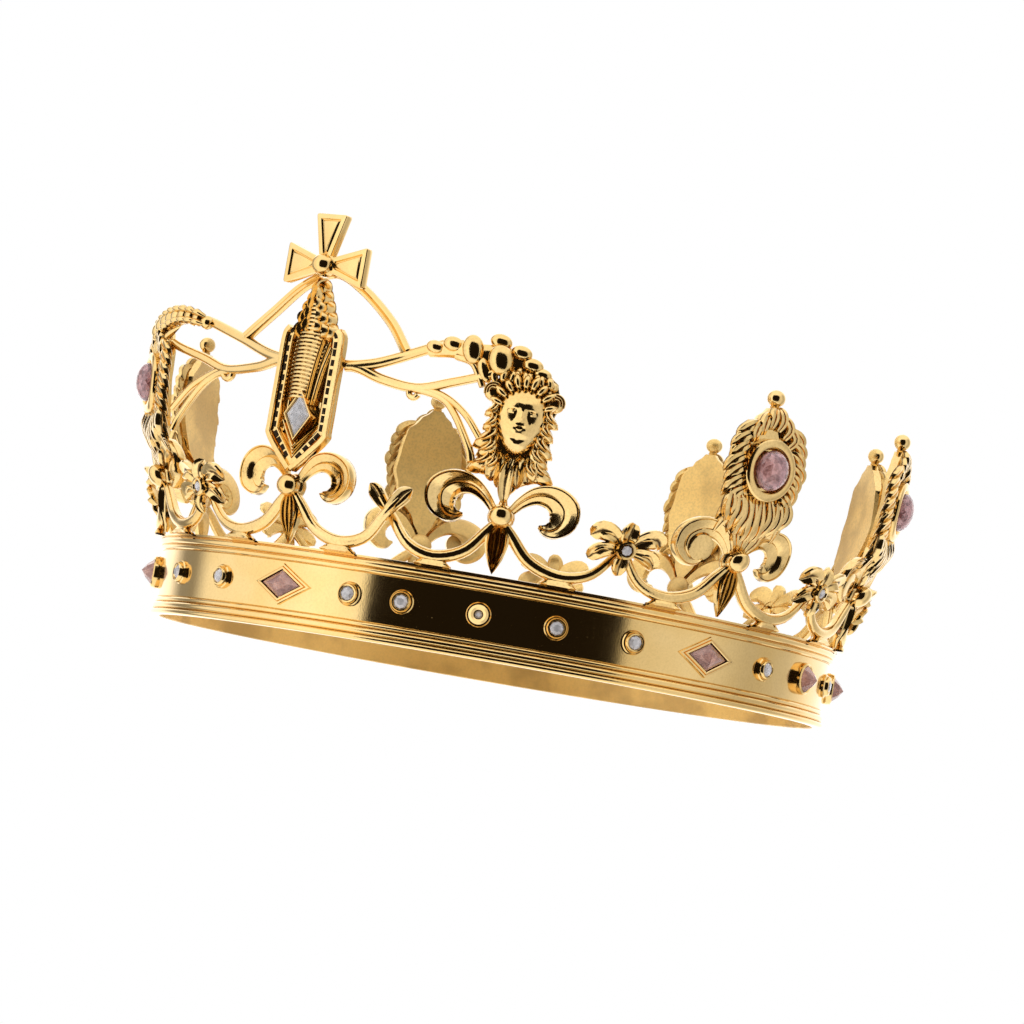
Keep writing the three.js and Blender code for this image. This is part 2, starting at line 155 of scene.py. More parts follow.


# Each entry is (across, out, worth): worth 1 is polished, worth 0 lies deep and is painted dark with patina
# and painted shade.
BAR = round_section(12)
THIN_BAR = round_section(8)
KEEL = [(0, -0.6, 0.4)]
LOCK = mirrored_section([(1, 0, 0.1), (0.82, 0.5, 0.5), (0.4, 0.92, 0.95), (0, 1, 1)], KEEL)
FLAME_CREST = [(1, 0, 0.04), (0.93, 0.7, 0.6), (0.82, 0.96, 1), (0.3, 1, 1)]
FLAME_SLIT = [(0.15, 0.95, 0.8), (0.07, 0.5, 0.04), (0, 0.4, 0.02)]
FLAME = mirrored_section([*FLAME_CREST, *FLAME_SLIT], KEEL)
RIDGE = mirrored_section([(1, 0, 0.08), (0.8, 0.5, 0.6), (0, 1.5, 1)], KEEL)
SPOON = mirrored_section(
    [(1, 0, 0.35), (0.93, 0.75, 0.95), (0.74, 1, 1), (0.52, 0.72, 0.85), (0.26, 0.42, 0.4), (0, 0.3, 0.04)],
    [(-0.6, -0.7, 0.7), (0.6, -0.7, 0.7)],
)
SCROLL = [
    (1, -0.3, 0.6), (0.97, 0.1, 0.95), (0.87, 0.14, 1), (0.8, -0.14, 0.3), (0.4, 0.1, 0.9), (0.1, 0.36, 0.95),
    (0.03, 0.26, 0.3), (-0.05, 0.46, 0.9), (-0.4, 0.76, 1), (-0.72, 1.04, 0.95), (-0.78, 0.88, 0.25),
    (-0.84, 1.1, 0.95), (-0.92, 1.14, 1), (-1, 0.8, 0.95), (-1, -0.3, 0.9), (-0.7, -0.9, 0.9),
    (0.7, -0.9, 0.9),
]
VEINED = mirrored_section(
    [
        (1, 0, 0.5), (0.96, 0.7, 1), (0.8, 0.85, 1), (0.66, 0.4, 0.3), (0.5, 0.62, 0.6),
        (0.36, 0.42, 0.28), (0.2, 0.8, 0.8), (0.08, 0.5, 0.3), (0, 0.8, 0.75),
    ],
    [(-0.6, -0.6, 0.8), (0.6, -0.6, 0.8)],
)
PLATE = mirrored_section(
    [(1, 0, 0.6), (0.97, 0.75, 0.6), (0.85, 1, 0.45), (0.4, 1, 0.4), (0, 1, 0.4)],
    [(-0.94, -0.85, 1), (0, -1, 1), (0.94, -0.85, 1)],
)

THINNEST = 0.03


def new_part():
    """An empty mesh in the making, whose vertices carry their worth."""
    part = bmesh.new()
    part.verts.layers.float.new("worth")
    return part


def corner(part, place, worth):
    """Adds one vertex."""
    vert = part.verts.new(place)
    vert[part.verts.layers.float["worth"]] = worth
    return vert


def steady(value):
    """A size that stays the same all the way."""
    return lambda t: value


def sweep(points, half_width, half_depth, section=BAR, worth_kept=steady(1)):
    """Draws a closed section along points; half sizes and the worth kept, lowered where patina and painted
    shade go, are functions of the share t of the way.
    """
    part = new_part()
    worth = part.verts.layers.float["worth"]
    face = part.faces.new([corner(part, (across, out, 0), value) for across, out, value in section])
    last = len(points) - 1
    stations = []
    for i, point in enumerate(points):
        along = (points[min(i + 1, last)] - points[max(i - 1, 0)]).normalized()
        side = Vector((0, 0, 1)).cross(along).normalized()
        out = along.cross(side)
        wide, deep = max(half_width(i / last), THINNEST), max(half_depth(i / last), THINNEST)
        station = Matrix((side * wide, out * deep, along)).transposed().to_4x4()
        station.translation = point
        stations.append(station)
    bmesh.ops.transform(part, matrix=stations[0], verts=part.verts)
    for i in range(last):
        face = bmesh.ops.extrude_discrete_faces(part, faces=[face])["faces"][0]
        bmesh.ops.transform(part, matrix=stations[i + 1] @ stations[i].inverted(), verts=face.verts)
        for vert in face.verts:
            vert[worth] *= worth_kept((i + 1) / last) / worth_kept(i / last)
    bmesh.ops.holes_fill(part, edges=[edge for edge in part.edges if edge.is_boundary], sides=0)
    bmesh.ops.recalc_face_normals(part, faces=part.faces)
    return part


def leaf_width(value, belly, root, tip):
    """Wide at the belly, `root` times as wide at the start; a small `tip` ends it blunt."""

    def width(t):
        if t < belly:
            return value * (root + (1 - root) * math.sin(math.pi / 2 * t / belly))
        return value * max(math.cos(math.pi / 2 * (t - belly) / (1 - belly)), 0) ** tip

    return width


def lock(points, width, height, belly=0.4, root=0.35, section=LOCK, steps=8, tip=0.8):
    """A tapering lock of hair, a flame or a feather."""
    wide, deep = leaf_width(width, belly, root, tip), leaf_width(height, belly, root, tip)
    return sweep(curve_through(points, steps), wide, deep, section)


def spun(profile, steps, closed=False):
    """Turns (radius, height, worth) corners about the axis that points outwards."""
    part = new_part()
    corners = [corner(part, (radius, 0, height), value) for radius, height, value in profile]
    following = corners[1:] + corners[:1] if closed else corners[1:]
    edges = [part.edges.new(pair) for pair in zip(corners, following)]
    bmesh.ops.spin(
        part,
        geom=[*corners, *edges],
        cent=(0, 0, 0),
        axis=(0, 0, 1),
        angle=2 * math.pi,
        steps=steps,
        use_merge=True,
        use_duplicate=False,
    )
    bmesh.ops.remove_doubles(part, verts=part.verts, dist=1e-4)
    bmesh.ops.recalc_face_normals(part, faces=part.faces)
    return part


def bead(x, y, out, radius, stretch=(1, 1, 1), lean=0, worth=1.0, rings=10):
    """A polished ball or drop, stretched and leaned over by `lean` degrees."""
    part = new_part()
    layer = part.verts.layers.float["worth"]
    stretched = Matrix.Diagonal((*(radius * share for share in stretch), 1))
    place = Matrix.Translation((x, y, out)) @ (Matrix.Rotation(math.radians(lean), 4, "Z") @ stretched)
    bmesh.ops.create_uvsphere(part, u_segments=rings * 2, v_segments=rings, radius=1, matrix=place)
    for vert in part.verts:
        # Patina and painted shade: the back of the ball, towards the wall, is painted darker than its front.
        vert[layer] = worth * (0.35 + 0.65 * ease((vert.co.z - out) / (radius * stretch[2]) + 0.9))
    return part


def placed(part, x=0, y=0, out=0, scale=(1, 1, 1), turn=0):
    """Moves a part over the flat design, after stretching and turning it about its own middle."""
    turned = Matrix.Rotation(math.radians(turn), 3, "Z")
    bmesh.ops.scale(part, vec=scale, verts=part.verts)
    bmesh.ops.rotate(part, cent=(0, 0, 0), matrix=turned, verts=part.verts)
    bmesh.ops.translate(part, vec=(x, y, out), verts=part.verts)
    return part


def flipped(part):
    """The same part on the other side of its fleuron."""
    bmesh.ops.scale(part, vec=(-1, 1, 1), verts=part.verts)
    bmesh.ops.reverse_faces(part, faces=part.faces)
    return part


# Each step is (inset, depth, worth), from the rim to the middle of the field.
PANEL_STEPS = ((1.25, 0.0, 0.95), (0.3, -0.5, 0.4), (0.12, 0.0, 0.4), (0.3, 0.35, 1.0), (0.3, 0.12, 1.0))


def rounded(part, edges, offset, segments):
    """Bevels some edges of a part."""
    bmesh.ops.bevel(
        part, geom=edges, offset=offset, segments=segments, profile=0.5, affect="EDGES", material=-1
    )


def panel(outline, low, high):
    """A flat block whose rim slopes down to a sunk channel round a raised inner field."""
    part = new_part()
    worth = part.verts.layers.float["worth"]
    base = part.faces.new([part.verts.new((x, y, low)) for x, y in outline])
    top = bmesh.ops.extrude_face_region(part, geom=[base], use_keep_orig=True)["geom"]
    raised = [item for item in top if isinstance(item, bmesh.types.BMVert)]
    bmesh.ops.translate(part, vec=(0, 0, high - low), verts=raised)
    field = [item for item in top if isinstance(item, bmesh.types.BMFace)]
    bmesh.ops.recalc_face_normals(part, faces=part.faces)
    for vert in part.verts:
        vert[worth] = 0.95
    for inset, depth, value in PANEL_STEPS:
        bmesh.ops.inset_region(part, faces=field, thickness=inset, depth=depth, use_even_offset=True)
        for vert in field[0].verts:
            vert[worth] = value
    tall = [e for e in part.edges if abs(e.verts[0].co.z - e.verts[1].co.z) > 0.9 * (high - low)]
    rounded(part, tall, 0.8, 3)
    rounded(part, [e for e in part.edges if e.calc_face_angle(0) > math.radians(80)], 0.3, 2)
    return part


def merged(parts):
    """All the parts in one mesh."""
    whole = new_part()
    for part in parts:
        mesh = bpy.data.meshes.new("part")
        part.to_mesh(mesh)
        part.free()
        whole.from_mesh(mesh)
        bpy.data.meshes.remove(mesh)
    return whole


def rolled(part, turn, height=None, lean=LEAN):
    """Rolls a flat design round the band and brings it to metres."""
    height = BAND_TOP if height is None else height
    for vert in part.verts:
        x, y, out = vert.co
        angle = math.radians(turn) + x / WALL_RADIUS
        radius = WALL_RADIUS + out + min(lean, LEAN * ease(y / LEAN_HEIGHT))
        vert.co = Vector((radius * math.sin(angle), -radius * math.cos(angle), height + y)) * MM
    return part


def keep(name, part, slot, nodes=(), crease=40):
    """Turns a finished part into a piece that rides on the crown and stands for its CAD nodes."""
    mesh = bpy.data.meshes.new(name)
    part.to_mesh(mesh)
    part.free()
    mesh.polygons.foreach_set("use_smooth", [crease > 0] * len(mesh.polygons))
    if crease > 0:
        mesh.set_sharp_from_angle(angle=math.radians(crease))
    mesh.materials.append(material_for(slot))
    piece = bpy.data.objects.new(name, mesh)
    bpy.context.scene.collection.objects.link(piece)
    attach(piece, "root")
    if nodes:
        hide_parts(*nodes)
    return piece


# ---- shader kit -----------------------------------------------------------------------------------
class Signal:
    """A socket of a material; arithmetic on it adds Math nodes."""

    def __init__(self, finish, socket):
        self.finish = finish
        self.socket = socket

    def __add__(self, other):
        return self.finish.math("ADD", self, other)

    def __sub__(self, other):
        return self.finish.math("SUBTRACT", self, other)

    def __rsub__(self, other):
        return self.finish.math("SUBTRACT", other, self)

    def __mul__(self, other):
        return self.finish.math("MULTIPLY", self, other)

    def __truediv__(self, other):
        return self.finish.math("DIVIDE", self, other)

    def __pow__(self, other):
        return self.finish.math("POWER", self, other)

    def most(self, other):
        return self.finish.math("MAXIMUM", self, other)

    __radd__ = __add__
    __rmul__ = __mul__


class Finish:
    """A material or a world under construction."""

    def __init__(self, owner):
        owner.use_nodes = True
        self.tree = owner.node_tree
        self.tree.nodes.clear()

    def node(self, kind, settings=None, values=None, output=0):
        """Adds a node, makes its settings, then fills or links its sockets."""
        made = self.tree.nodes.new(kind)
        for name, setting in (settings or {}).items():
            if name == "stops":
                self._stops(made.color_ramp.elements, setting)
            else:
                setattr(made, name, setting)
        for name, value in (values or {}).items():
            if isinstance(value, Signal):
                self.tree.links.new(value.socket, made.inputs[name])
            else:
                made.inputs[name].default_value = value
        return Signal(self, made.outputs[output]) if made.outputs else made

    @staticmethod
    def _stops(elements, stops):
        while len(elements) < len(stops):
            elements.new(1.0)
        for element, (place, colour) in zip(elements, stops):
            element.position = place
            element.color = colour

    def math(self, operation, *values):
        return self.node("ShaderNodeMath", {"operation": operation}, dict(enumerate(values)))

    def vector(self, operation, values, output=0):
        return self.node("ShaderNodeVectorMath", {"operation": operation}, values, output)

    def place(self):
        """Where a point lies on the crown, in metres."""
        return self.node("ShaderNodeTexCoord", output=3)

    def cover(self, sockets):
        """Ends a material with one Principled shader."""
        shader = self.node("ShaderNodeBsdfPrincipled", {}, sockets)
        self.node("ShaderNodeOutputMaterial", {}, {"Surface": shader})

    def ramp(self, signal, low, high):
        """0 below low, 1 above high, eased between them."""
        values = {"Value": signal, "From Min": low, "From Max": high}
        return self.node("ShaderNodeMapRange", {"interpolation_type": "SMOOTHSTEP"}, values)

    def noise(self, place, scale, detail=3.0):
        values = {"Vector": place, "Scale": scale, "Detail": detail, "Roughness": 0.55}
        return self.node("ShaderNodeTexNoise", {}, values)

    def mix(self, factor, first, second):
        """Goes from the first colour to the second; a plain colour is three numbers."""
        first, second = (part if isinstance(part, Signal) else (*part, 1) for part in (first, second))
        return self.node("ShaderNodeMix", {"data_type": "RGBA"}, {"Factor": factor, 6: first, 7: second}, 2)


def gold_finish(name, looks, patina_and_shade, polish, pits):
    """Cast gold: polished where it stands proud, dark with patina and painted shade where it lies deep, satin
    on the inner side.
    """
    material = bpy.data.materials.new(name)
    finish = Finish(material)
    place = finish.place()
    outward = finish.vector("NORMALIZE", {0: finish.vector("MULTIPLY", {0: place, 1: (1, 1, 0)})})
    facing = finish.node("ShaderNodeNewGeometry", output=1)
    inner = finish.ramp(finish.vector("DOT_PRODUCT", {0: outward, 1: facing}, output=1), -0.25, -0.6)
    blotch = finish.noise(place, 900, 4)
    cloud = finish.noise(place, 60, 2)
    worth = finish.node("ShaderNodeAttribute", {"attribute_name": "worth"}, output=2)
    # Patina and painted shade: a low worth paints the gold dark and rough, and near black at the very lowest.
    depth = worth + (blotch - 0.5) * 0.5 * patina_and_shade
    clean_and_unshaded = finish.ramp(depth, 0.08 * patina_and_shade, 0.42 * patina_and_shade)
    speck = finish.ramp(finish.noise(place, 2600, 2), 0.72, 0.8) * finish.ramp(cloud, 0.48, 0.62) * pits
    dirt_and_shade = (1 - clean_and_unshaded).most(speck) * (1 - inner * 0.85)
    warm = finish.mix(finish.ramp(cloud, 0.3, 0.7), looks.gold, looks.gold_deep)
    smudge = finish.ramp(finish.noise(place, 60, 3), 0.42, 0.66) * 0.52
    warm = finish.mix(inner, warm, finish.mix(smudge, looks.satin, looks.smudge))
    fine = finish.ramp(finish.noise(place, 1500, 3), 0.3, 0.62)
    warm = finish.mix((1 - fine) * (0.5 - 0.45 * polish), warm, [0.5 * c for c in looks.gold_deep])
    grime_and_shade = finish.mix(finish.ramp(worth, 0.02, 0.12), looks.grime_and_shade, looks.patina_and_shade)
    waves = finish.noise(place, 420, 3)
    grain = finish.noise(place, 2400, 2)
    relief = waves * (1 - polish) + grain * (0.42 - 0.3 * polish) + dirt_and_shade * blotch * 0.8
    bumps = {"Strength": 0.4, "Distance": 0.00012, "Height": relief}
    sockets = {
        "Base Color": finish.mix(dirt_and_shade, warm, grime_and_shade),
        "Metallic": 1 - dirt_and_shade * 0.15 - inner * 0.55,
        "Roughness": dirt_and_shade * 0.34 + cloud * 0.08 + inner * 0.27 + looks.roughness,
        "Normal": finish.node("ShaderNodeBump", {}, bumps),
    }
    finish.cover(sockets)
    return material


def gem_finish(name, colour, ior, clear, glint_bright):
    """A cut stone, see-through by the share `clear`, with a little cloudiness in it and painted glints: each
    facet is painted lighter or darker by the way it faces.
    """
    material = bpy.data.materials.new(name)
    finish = Finish(material)
    cloud = finish.noise(finish.place(), 650, 3)
    facing = finish.node("ShaderNodeNewGeometry", output=3)
    # Painted highlights and shade on the facets: the way each facet faces picks how light or dark it is
    # painted, mixed with a little cloudiness.
    facet_glint = finish.ramp(finish.noise(facing, 3.1, 1), 0.43, 0.57)
    mottle_and_glint = finish.ramp(cloud, 0.42, 0.6) * 0.45 + facet_glint * 0.55
    tint_and_glint = finish.mix(mottle_and_glint, [0.5 * c for c in colour], [min(glint_bright * c, 1) for c in colour])
    see_through = {"IOR": ior, "Transmission Weight": clear}
    finish.cover({"Base Color": tint_and_glint, "Roughness": 0.05, "Coat Weight": 0.5, **see_through})
    return material


_made = {}

# How much patina and painted shade, polish and pitting each kind of gold has.
GOLDS = {"polished_gold": (0.55, 0.85, 1.0), "antiqued_gold": (0.9, 0.5, 0.5)}
# Each stone's colour, its refraction, how see-through it is and how bright its painted facet glints get.
GEMS = {
    "violet_pink_stone": ("violet_stone", 1.5, 0.4, 2.0),
    "pink_stone": ("pink_stone", 1.5, 0.3, 1.35),
    "clear_stone": ("clear_stone", 1.6, 0.15, 1.0),
}


def material_for(slot):
    """The finish of a record slot, made once."""
    looks = bpy.context.scene.crown_looks
    if slot not in _made and slot in GOLDS:
        _made[slot] = gold_finish(slot, looks, *GOLDS[slot])
    elif slot not in _made:
        colour, *optics = GEMS[slot]
        _made[slot] = gem_finish(slot, getattr(looks, colour), *optics)
    return _made[slot]


# ---- parts that every fleuron shares ----------------------------------------------------------------
DRAWN_SCROLL_RADIUS = 6.7
SCROLL_STEPS = 48
ARM_OUT = 1.7


def scroll(side, wide=1.0, rise=1.4, eye=False):
    """A broad scroll with fine rims that rises from the ball, curls over and ends in a point or an eye."""
    reach = bpy.context.scene.crown_sizes.scroll_radius / MM / DRAWN_SCROLL_RADIUS
    # Each entry is (x, y, half width).
    spine = [
        (-1.4, 15.6, 0.9), (-4.4, 19.4, 1.5), (-7.8, 21.7, 2.3), (-11.6, 21.8, 3.1), (-14.6, 19.7, 3.6),
        (-15.0, 16.6, 3.5), (-13.4, 14.3, 2.7), (-11.3, 13.7, 1.7), (-9.4, 14.2, 0.4),
    ]
    curve = curve_through(spine, SCROLL_STEPS)
    widths = [point.z * reach for point in curve]
    points = [Vector((point.x, point.y, 1.5)) for point in curve]
    half = lambda t: widths[round(t * SCROLL_STEPS)]
    # Patina and painted shade: unless it ends in an eye, the scroll is painted darker where it curls under
    # near its end.
    grime_and_shade = lambda t: 1 - (0 if eye else 0.8) * math.exp(-(((t - 0.87) / 0.07) ** 2))
    deep = lambda t: 1.0 + rise * ease((1 - t) / 0.3) * ease(t / 0.3)
    parts = [sweep(points, half, deep, SCROLL, grime_and_shade)]
    if eye:
        dish = [(3.4, 0.2, 0.6), (3.4, 2.3, 0.6), (2.9, 2.45, 1), (0, 2.45, 1), (0, 0.2, 0.9)]
        parts.append(placed(spun(dish, 28), -10.6, 16.8, -0.2))
    parts = [placed(part, scale=(wide, 1, 1)) for part in parts]
    return parts if side < 0 else [flipped(part) for part in parts]


def arm(side, half_span, cross_over=None):
    """A round bar from the ball down to the band and up to the flower, or over the next arm to a bud."""
    radius = bpy.context.scene.crown_sizes.arm_radius / MM
    low = half_span * ARM_LOW_SHARE
    points = [
        (0.9, BALL_Y - 1.5, ARM_OUT),
        (low * 0.2, 10.6, ARM_OUT),
        (low * 0.52, 4.9, ARM_OUT),
        (low, 2.5, ARM_OUT),
        (low + (half_span - low) * 0.55, 4.6, ARM_OUT),
    ]
    if cross_over is None:
        points.append((half_span - 0.8, 11.2, 2.2))
    else:
        over = ARM_OUT + cross_over
        points += [(half_span - 0.6, 10.6, over), (half_span + 3.0, 15.4, over)]
    swell = lambda t: radius * (0.78 + 0.3 * math.sin(math.pi * min(t * 1.1, 1)))
    parts = [sweep(curve_through(points, 26), swell, swell, BAR)]
    if cross_over is not None:
        bud = [(0.6, 12.0), (2.6, 14.6), (4.4, 17.0), (6.0, 18.4)]
        path = [(half_span + x, y, 2.2 + cross_over) for x, y in bud]
        parts.append(lock(path, 2.1, 1.7, 0.55, 0.6, SPOON, 14))
    pad = [(low + x, y, 1.8) for x, y in ((-4.6, 0.1), (-2.2, 0.8), (2.2, 0.8), (4.6, 0.1))]
    foot = lambda t: 0.35 + 0.75 * math.sin(math.pi * t)
    parts.append(sweep(curve_through(pad, 10), foot, steady(1.5), round_section(8, 1.0)))
    parts.append(bead(low + side * 3.1, 0.7, 2.4, 0.8, worth=0.5, rings=5))
    return parts if side > 0 else [flipped(part) for part in parts]


def base_leaf():
    """The narrow veined leaf that hangs from the ball to the band."""
    points = [Vector((0, 14.2 - 13.9 * i / 14, 1.5)) for i in range(15)]
    width = lambda t: 3.1 * math.sin(math.pi * min(0.16 + 0.84 * t, 1) ** 0.86) ** 0.85
    parts = [sweep(points, width, lambda t: 2.0 * (0.3 + 0.7 * math.sin(math.pi * t)), VEINED)]
    for k in (-0.85, -0.3, 0.3, 0.85):
        stripe = [(k * 0.8, 13.4, 2.2), (k * 2.3, 10.0, 2.75), (k * 2.2, 6.0, 2.75), (k * 0.3, 2.0, 2.2)]
        parts.append(lock(stripe, 0.4, 0.8, 0.4, 0.7, RIDGE, 12))
    return parts


def fleuron_base(turn, left_scroll, right_scroll, eyes=False, left_cross=None, right_cross=None):
    """The lower half that every fleuron shares; a scroll is given by its width and its rise."""
    radius = bpy.context.scene.crown_sizes.ball_radius / MM
    left, right = spans_at(turn)
    return [
        *base_leaf(),
        bead(0, BALL_Y, BALL_OUT, radius, rings=16),
        bead(0, BALL_Y, 1.0, radius * 1.15, (1, 1, 0.6), worth=0.3, rings=8),
        *scroll(-1, *left_scroll, eyes),
        *scroll(1, *right_scroll),
        *arm(-1, left, left_cross),
        *arm(1, right, right_cross),
    ]


def spans_at(turn):
    """Half the distance along the wall to the neighbour on each side of the fleuron at `turn`."""
    here = min(range(len(FLEURON_TURNS)), key=lambda i: abs((FLEURON_TURNS[i] - turn + 180) % 360 - 180))
    before = (FLEURON_TURNS[here] - FLEURON_TURNS[here - 1]) % 360
    after = (FLEURON_TURNS[(here + 1) % len(FLEURON_TURNS)] - FLEURON_TURNS[here]) % 360
    return math.radians(before) * WALL_RADIUS / 2, math.radians(after) * WALL_RADIUS / 2


# ---- jewelled fleurons ------------------------------------------------------------------------------
def half_at(edge, y):
    """Half the width at a height of an outline given as (half width, height) corners."""
    for (wide, low), (next_wide, high) in zip(edge, edge[1:]):
        if y <= high:
            return wide + (next_wide - wide) * ease((y - low) / (high - low))
    return edge[-1][0]


def flames(side, row, rand):
    """One long flame at the plate's edge and three short strokes on its root."""
    y = 50.0 - 2.9 * row
    tip_y = y - 3.6 - 0.25 * row
    tip = half_at(PLATE_EDGE, max(tip_y, 28.4)) + 0.7 + 0.4 * (row % 2)
    inner = 2.2 + 4.4 * math.sin(math.pi * min(max((y - 29) / 23, 0), 1)) ** 0.6
    path = [
        (side * inner, y + 1.2, 2.6),
        (side * (inner + (tip - inner) * 0.45), y + 0.2, 3.2),
        (side * (inner + (tip - inner) * 0.85), y - 1.6, 2.7),
        (side * tip, tip_y, 1.8),
    ]
    parts = [lock(path, 1.4, 1.5, 0.5, 0.45, FLAME, 12, 0.6)]
    for _ in range(3):
        x = inner + 0.8 + rand.uniform(0.2, 3.2)
        y0 = y - 0.6 + rand.uniform(-0.9, 0.9)
        stroke = [(side * x, y0 + 1.1, 2.7), (side * (x + 0.8), y0, 3.0), (side * (x + 1.1), y0 - 1.4, 2.6)]
        parts.append(lock(stroke, 0.42, 0.8, steps=5))
    return parts


def tuft(x, y, tip_x, tip_y, sway):
    """A feather below the stone, with a fork on each side, that sways down to the ball."""
    drop = (y - tip_y) / 3
    path = [
        (x, y + 1.6, 2.3),
        (x * 1.06 + sway, y - drop, 3.7),
        (x * 0.98 - sway, y - 2 * drop, 3.3),
        (tip_x * 0.8, tip_y, 1.9),
    ]
    parts = [lock(path, 1.7, 1.9, 0.42, 0.5, FLAME, 14)]
    for k in (-1, 1):
        fork = [(p + k * (0.5 + 0.3 * i), q - 0.6, out + 0.25) for i, (p, q, out) in enumerate(path[1:])]
        parts.append(lock(fork, 0.55, 1.0, 0.4, 0.5, FLAME, 8))
    return parts


def flame_plate(seed):
    """A plate under flowing flames, with feathers below that gather at the ball."""
    rand = random.Random(seed)
    low, high = PLATE_EDGE[0][1], PLATE_EDGE[-1][1]
    spine = [Vector((0, low + (high - low) * i / 30, 1.4)) for i in range(31)]
    width = lambda t: half_at(PLATE_EDGE, low + (high - low) * t) - 0.7
    parts = [sweep(spine, width, steady(1.3), PLATE)]
    for side in (-1, 1):
        for row in range(9):
            parts += flames(side, row, rand)
    for x, top in ((-4.6, 51.6), (-3.0, 53.8), (-1.1, 55.6), (1.1, 55.6), (3.0, 53.8), (4.6, 51.6)):
        lobe = [(1.1, top - 5.4, 2.6), (1.3, top - 3.0, 3.5), (1, top - 0.8, 3.0), (0.45, top + 0.6, 2.0)]
        parts.append(lock([(x * share, y, out) for share, y, out in lobe], 1.25, 1.5, 0.45, 0.6, FLAME, 10))
    left_tufts = [(-8.2, 31.6, -7.2, 23.8), (-5.9, 31.0, -5.4, 21.9), (-3.5, 30.2, -3.4, 20.3)]
    left_tufts.append((-1.1, 29.6, -1.3, 18.6))
    right_tufts = [(-x, y, -tip_x, tip_y + 0.5) for x, y, tip_x, tip_y in left_tufts]
    for place in (*left_tufts, *right_tufts):
        parts += tuft(*place, rand.uniform(-0.5, 0.5))
    for x in (-3.0, -1.0, 1.0, 3.0):
        path = [(x * 1.3, 23.6, 1.9), (x * 1.1, 21.2, 2.7), (x * 0.7, 18.8, 2.5), (x * 0.3, 16.2, 1.8)]
        parts.append(lock(path, 1.1, 1.3, 0.42, 0.6, FLAME, 10))
    return parts


def oval_bezel():
    """A broad smooth ring with a deep wall round the stone."""
    profile = [
        (8.1, 2.2, 0.6), (8.3, 4.3, 0.85), (8.15, 4.85, 1), (7.7, 5.15, 1), (6.6, 5.25, 1), (6.15, 5.1, 1),
        (5.9, 4.6, 0.7), (5.8, 3.2, 0.6), (5.4, 2.7, 0.5), (0, 2.6, 0.5), (0, 2.2, 0.5),
    ]
    return placed(spun(profile, 56), 0, BEZEL_Y, 0.2, (0.86, 1.0, 1))


def side_crest():
    """Beads that bend away from the left plate, under locks that follow them."""
    centres = []
    for i in range(9):
        t = i / 8
        y = 53.0 + 5.6 * math.sin(math.pi * (0.05 + 0.62 * t)) - 1.4 * t * t
        centres.append((-2.8 + 22.6 * t, y, 2.6 - 5.2 * t * t, 3.1 - 1.2 * t))
    stalk = curve_through([(x, y, out - 0.4) for x, y, out, _ in centres], 4 * len(centres))
    parts = [sweep(stalk, steady(1.3), steady(1.1), round_section(8, 1.2))]
    parts += [bead(x, y, out, radius, rings=9) for x, y, out, radius in centres]
    for (x, y, out, radius), (far_x, far_y, far_out, _) in zip(centres, centres[1:]):
        for share in (-0.55, 0.75):
            lift = share * radius
            path = [
                (x - 0.6, y + lift - 0.8, out + 0.9),
                (x + 1.3, y + lift, out + 1.5),
                (far_x + 1.0, far_y + 0.7 * share * radius, far_out + 0.7),
            ]
            parts.append(lock(path, 0.95, 1.3))
    for i in range(6):
        t = i / 5
        path = [
            (-5.5 + 8 * t, 46 + 1.5 * t, 2.4),
            (-4.5 + 9 * t, 50.5 + 1.5 * t, 3.2 - t),
            (-1 + 11 * t, 55.4, 2.2 - 1.5 * t),
        ]
        parts.append(lock(path, 1.4, 1.5, steps=9))
    return parts


def knob():
    """A ball on a turned neck."""
    neck = [
        (1.5, -0.6, 0.7), (1.0, 0.2, 0.3), (1.3, 0.8, 0.8), (0.9, 1.3, 0.4), (0.8, 2.4, 0.8), (0, 2.4, 0.8),
        (0, -0.6, 0.7),
    ]
    stem = spun(neck, 16)
    upright = Matrix.Rotation(math.radians(-90), 3, "X")
    bmesh.ops.rotate(stem, cent=(0, 0, 0), matrix=upright, verts=stem.verts)
    return [placed(stem, 0, 55.2, 1.8), bead(0, 58.3, 1.8, 2.25, rings=14)]


# ---- the lion's fleuron -----------------------------------------------------------------------------
def bump(x, y, cx, cy, wide, tall):
    """A soft hill of height 1."""
    return math.exp(-(((x - cx) / wide) ** 2) - ((y - cy) / tall) ** 2)


def both_sides(x, y, cx, cy, wide, tall):
    """A soft hill on each side of the middle."""
    return bump(x, y, -cx, cy, wide, tall) + bump(x, y, cx, cy, wide, tall)


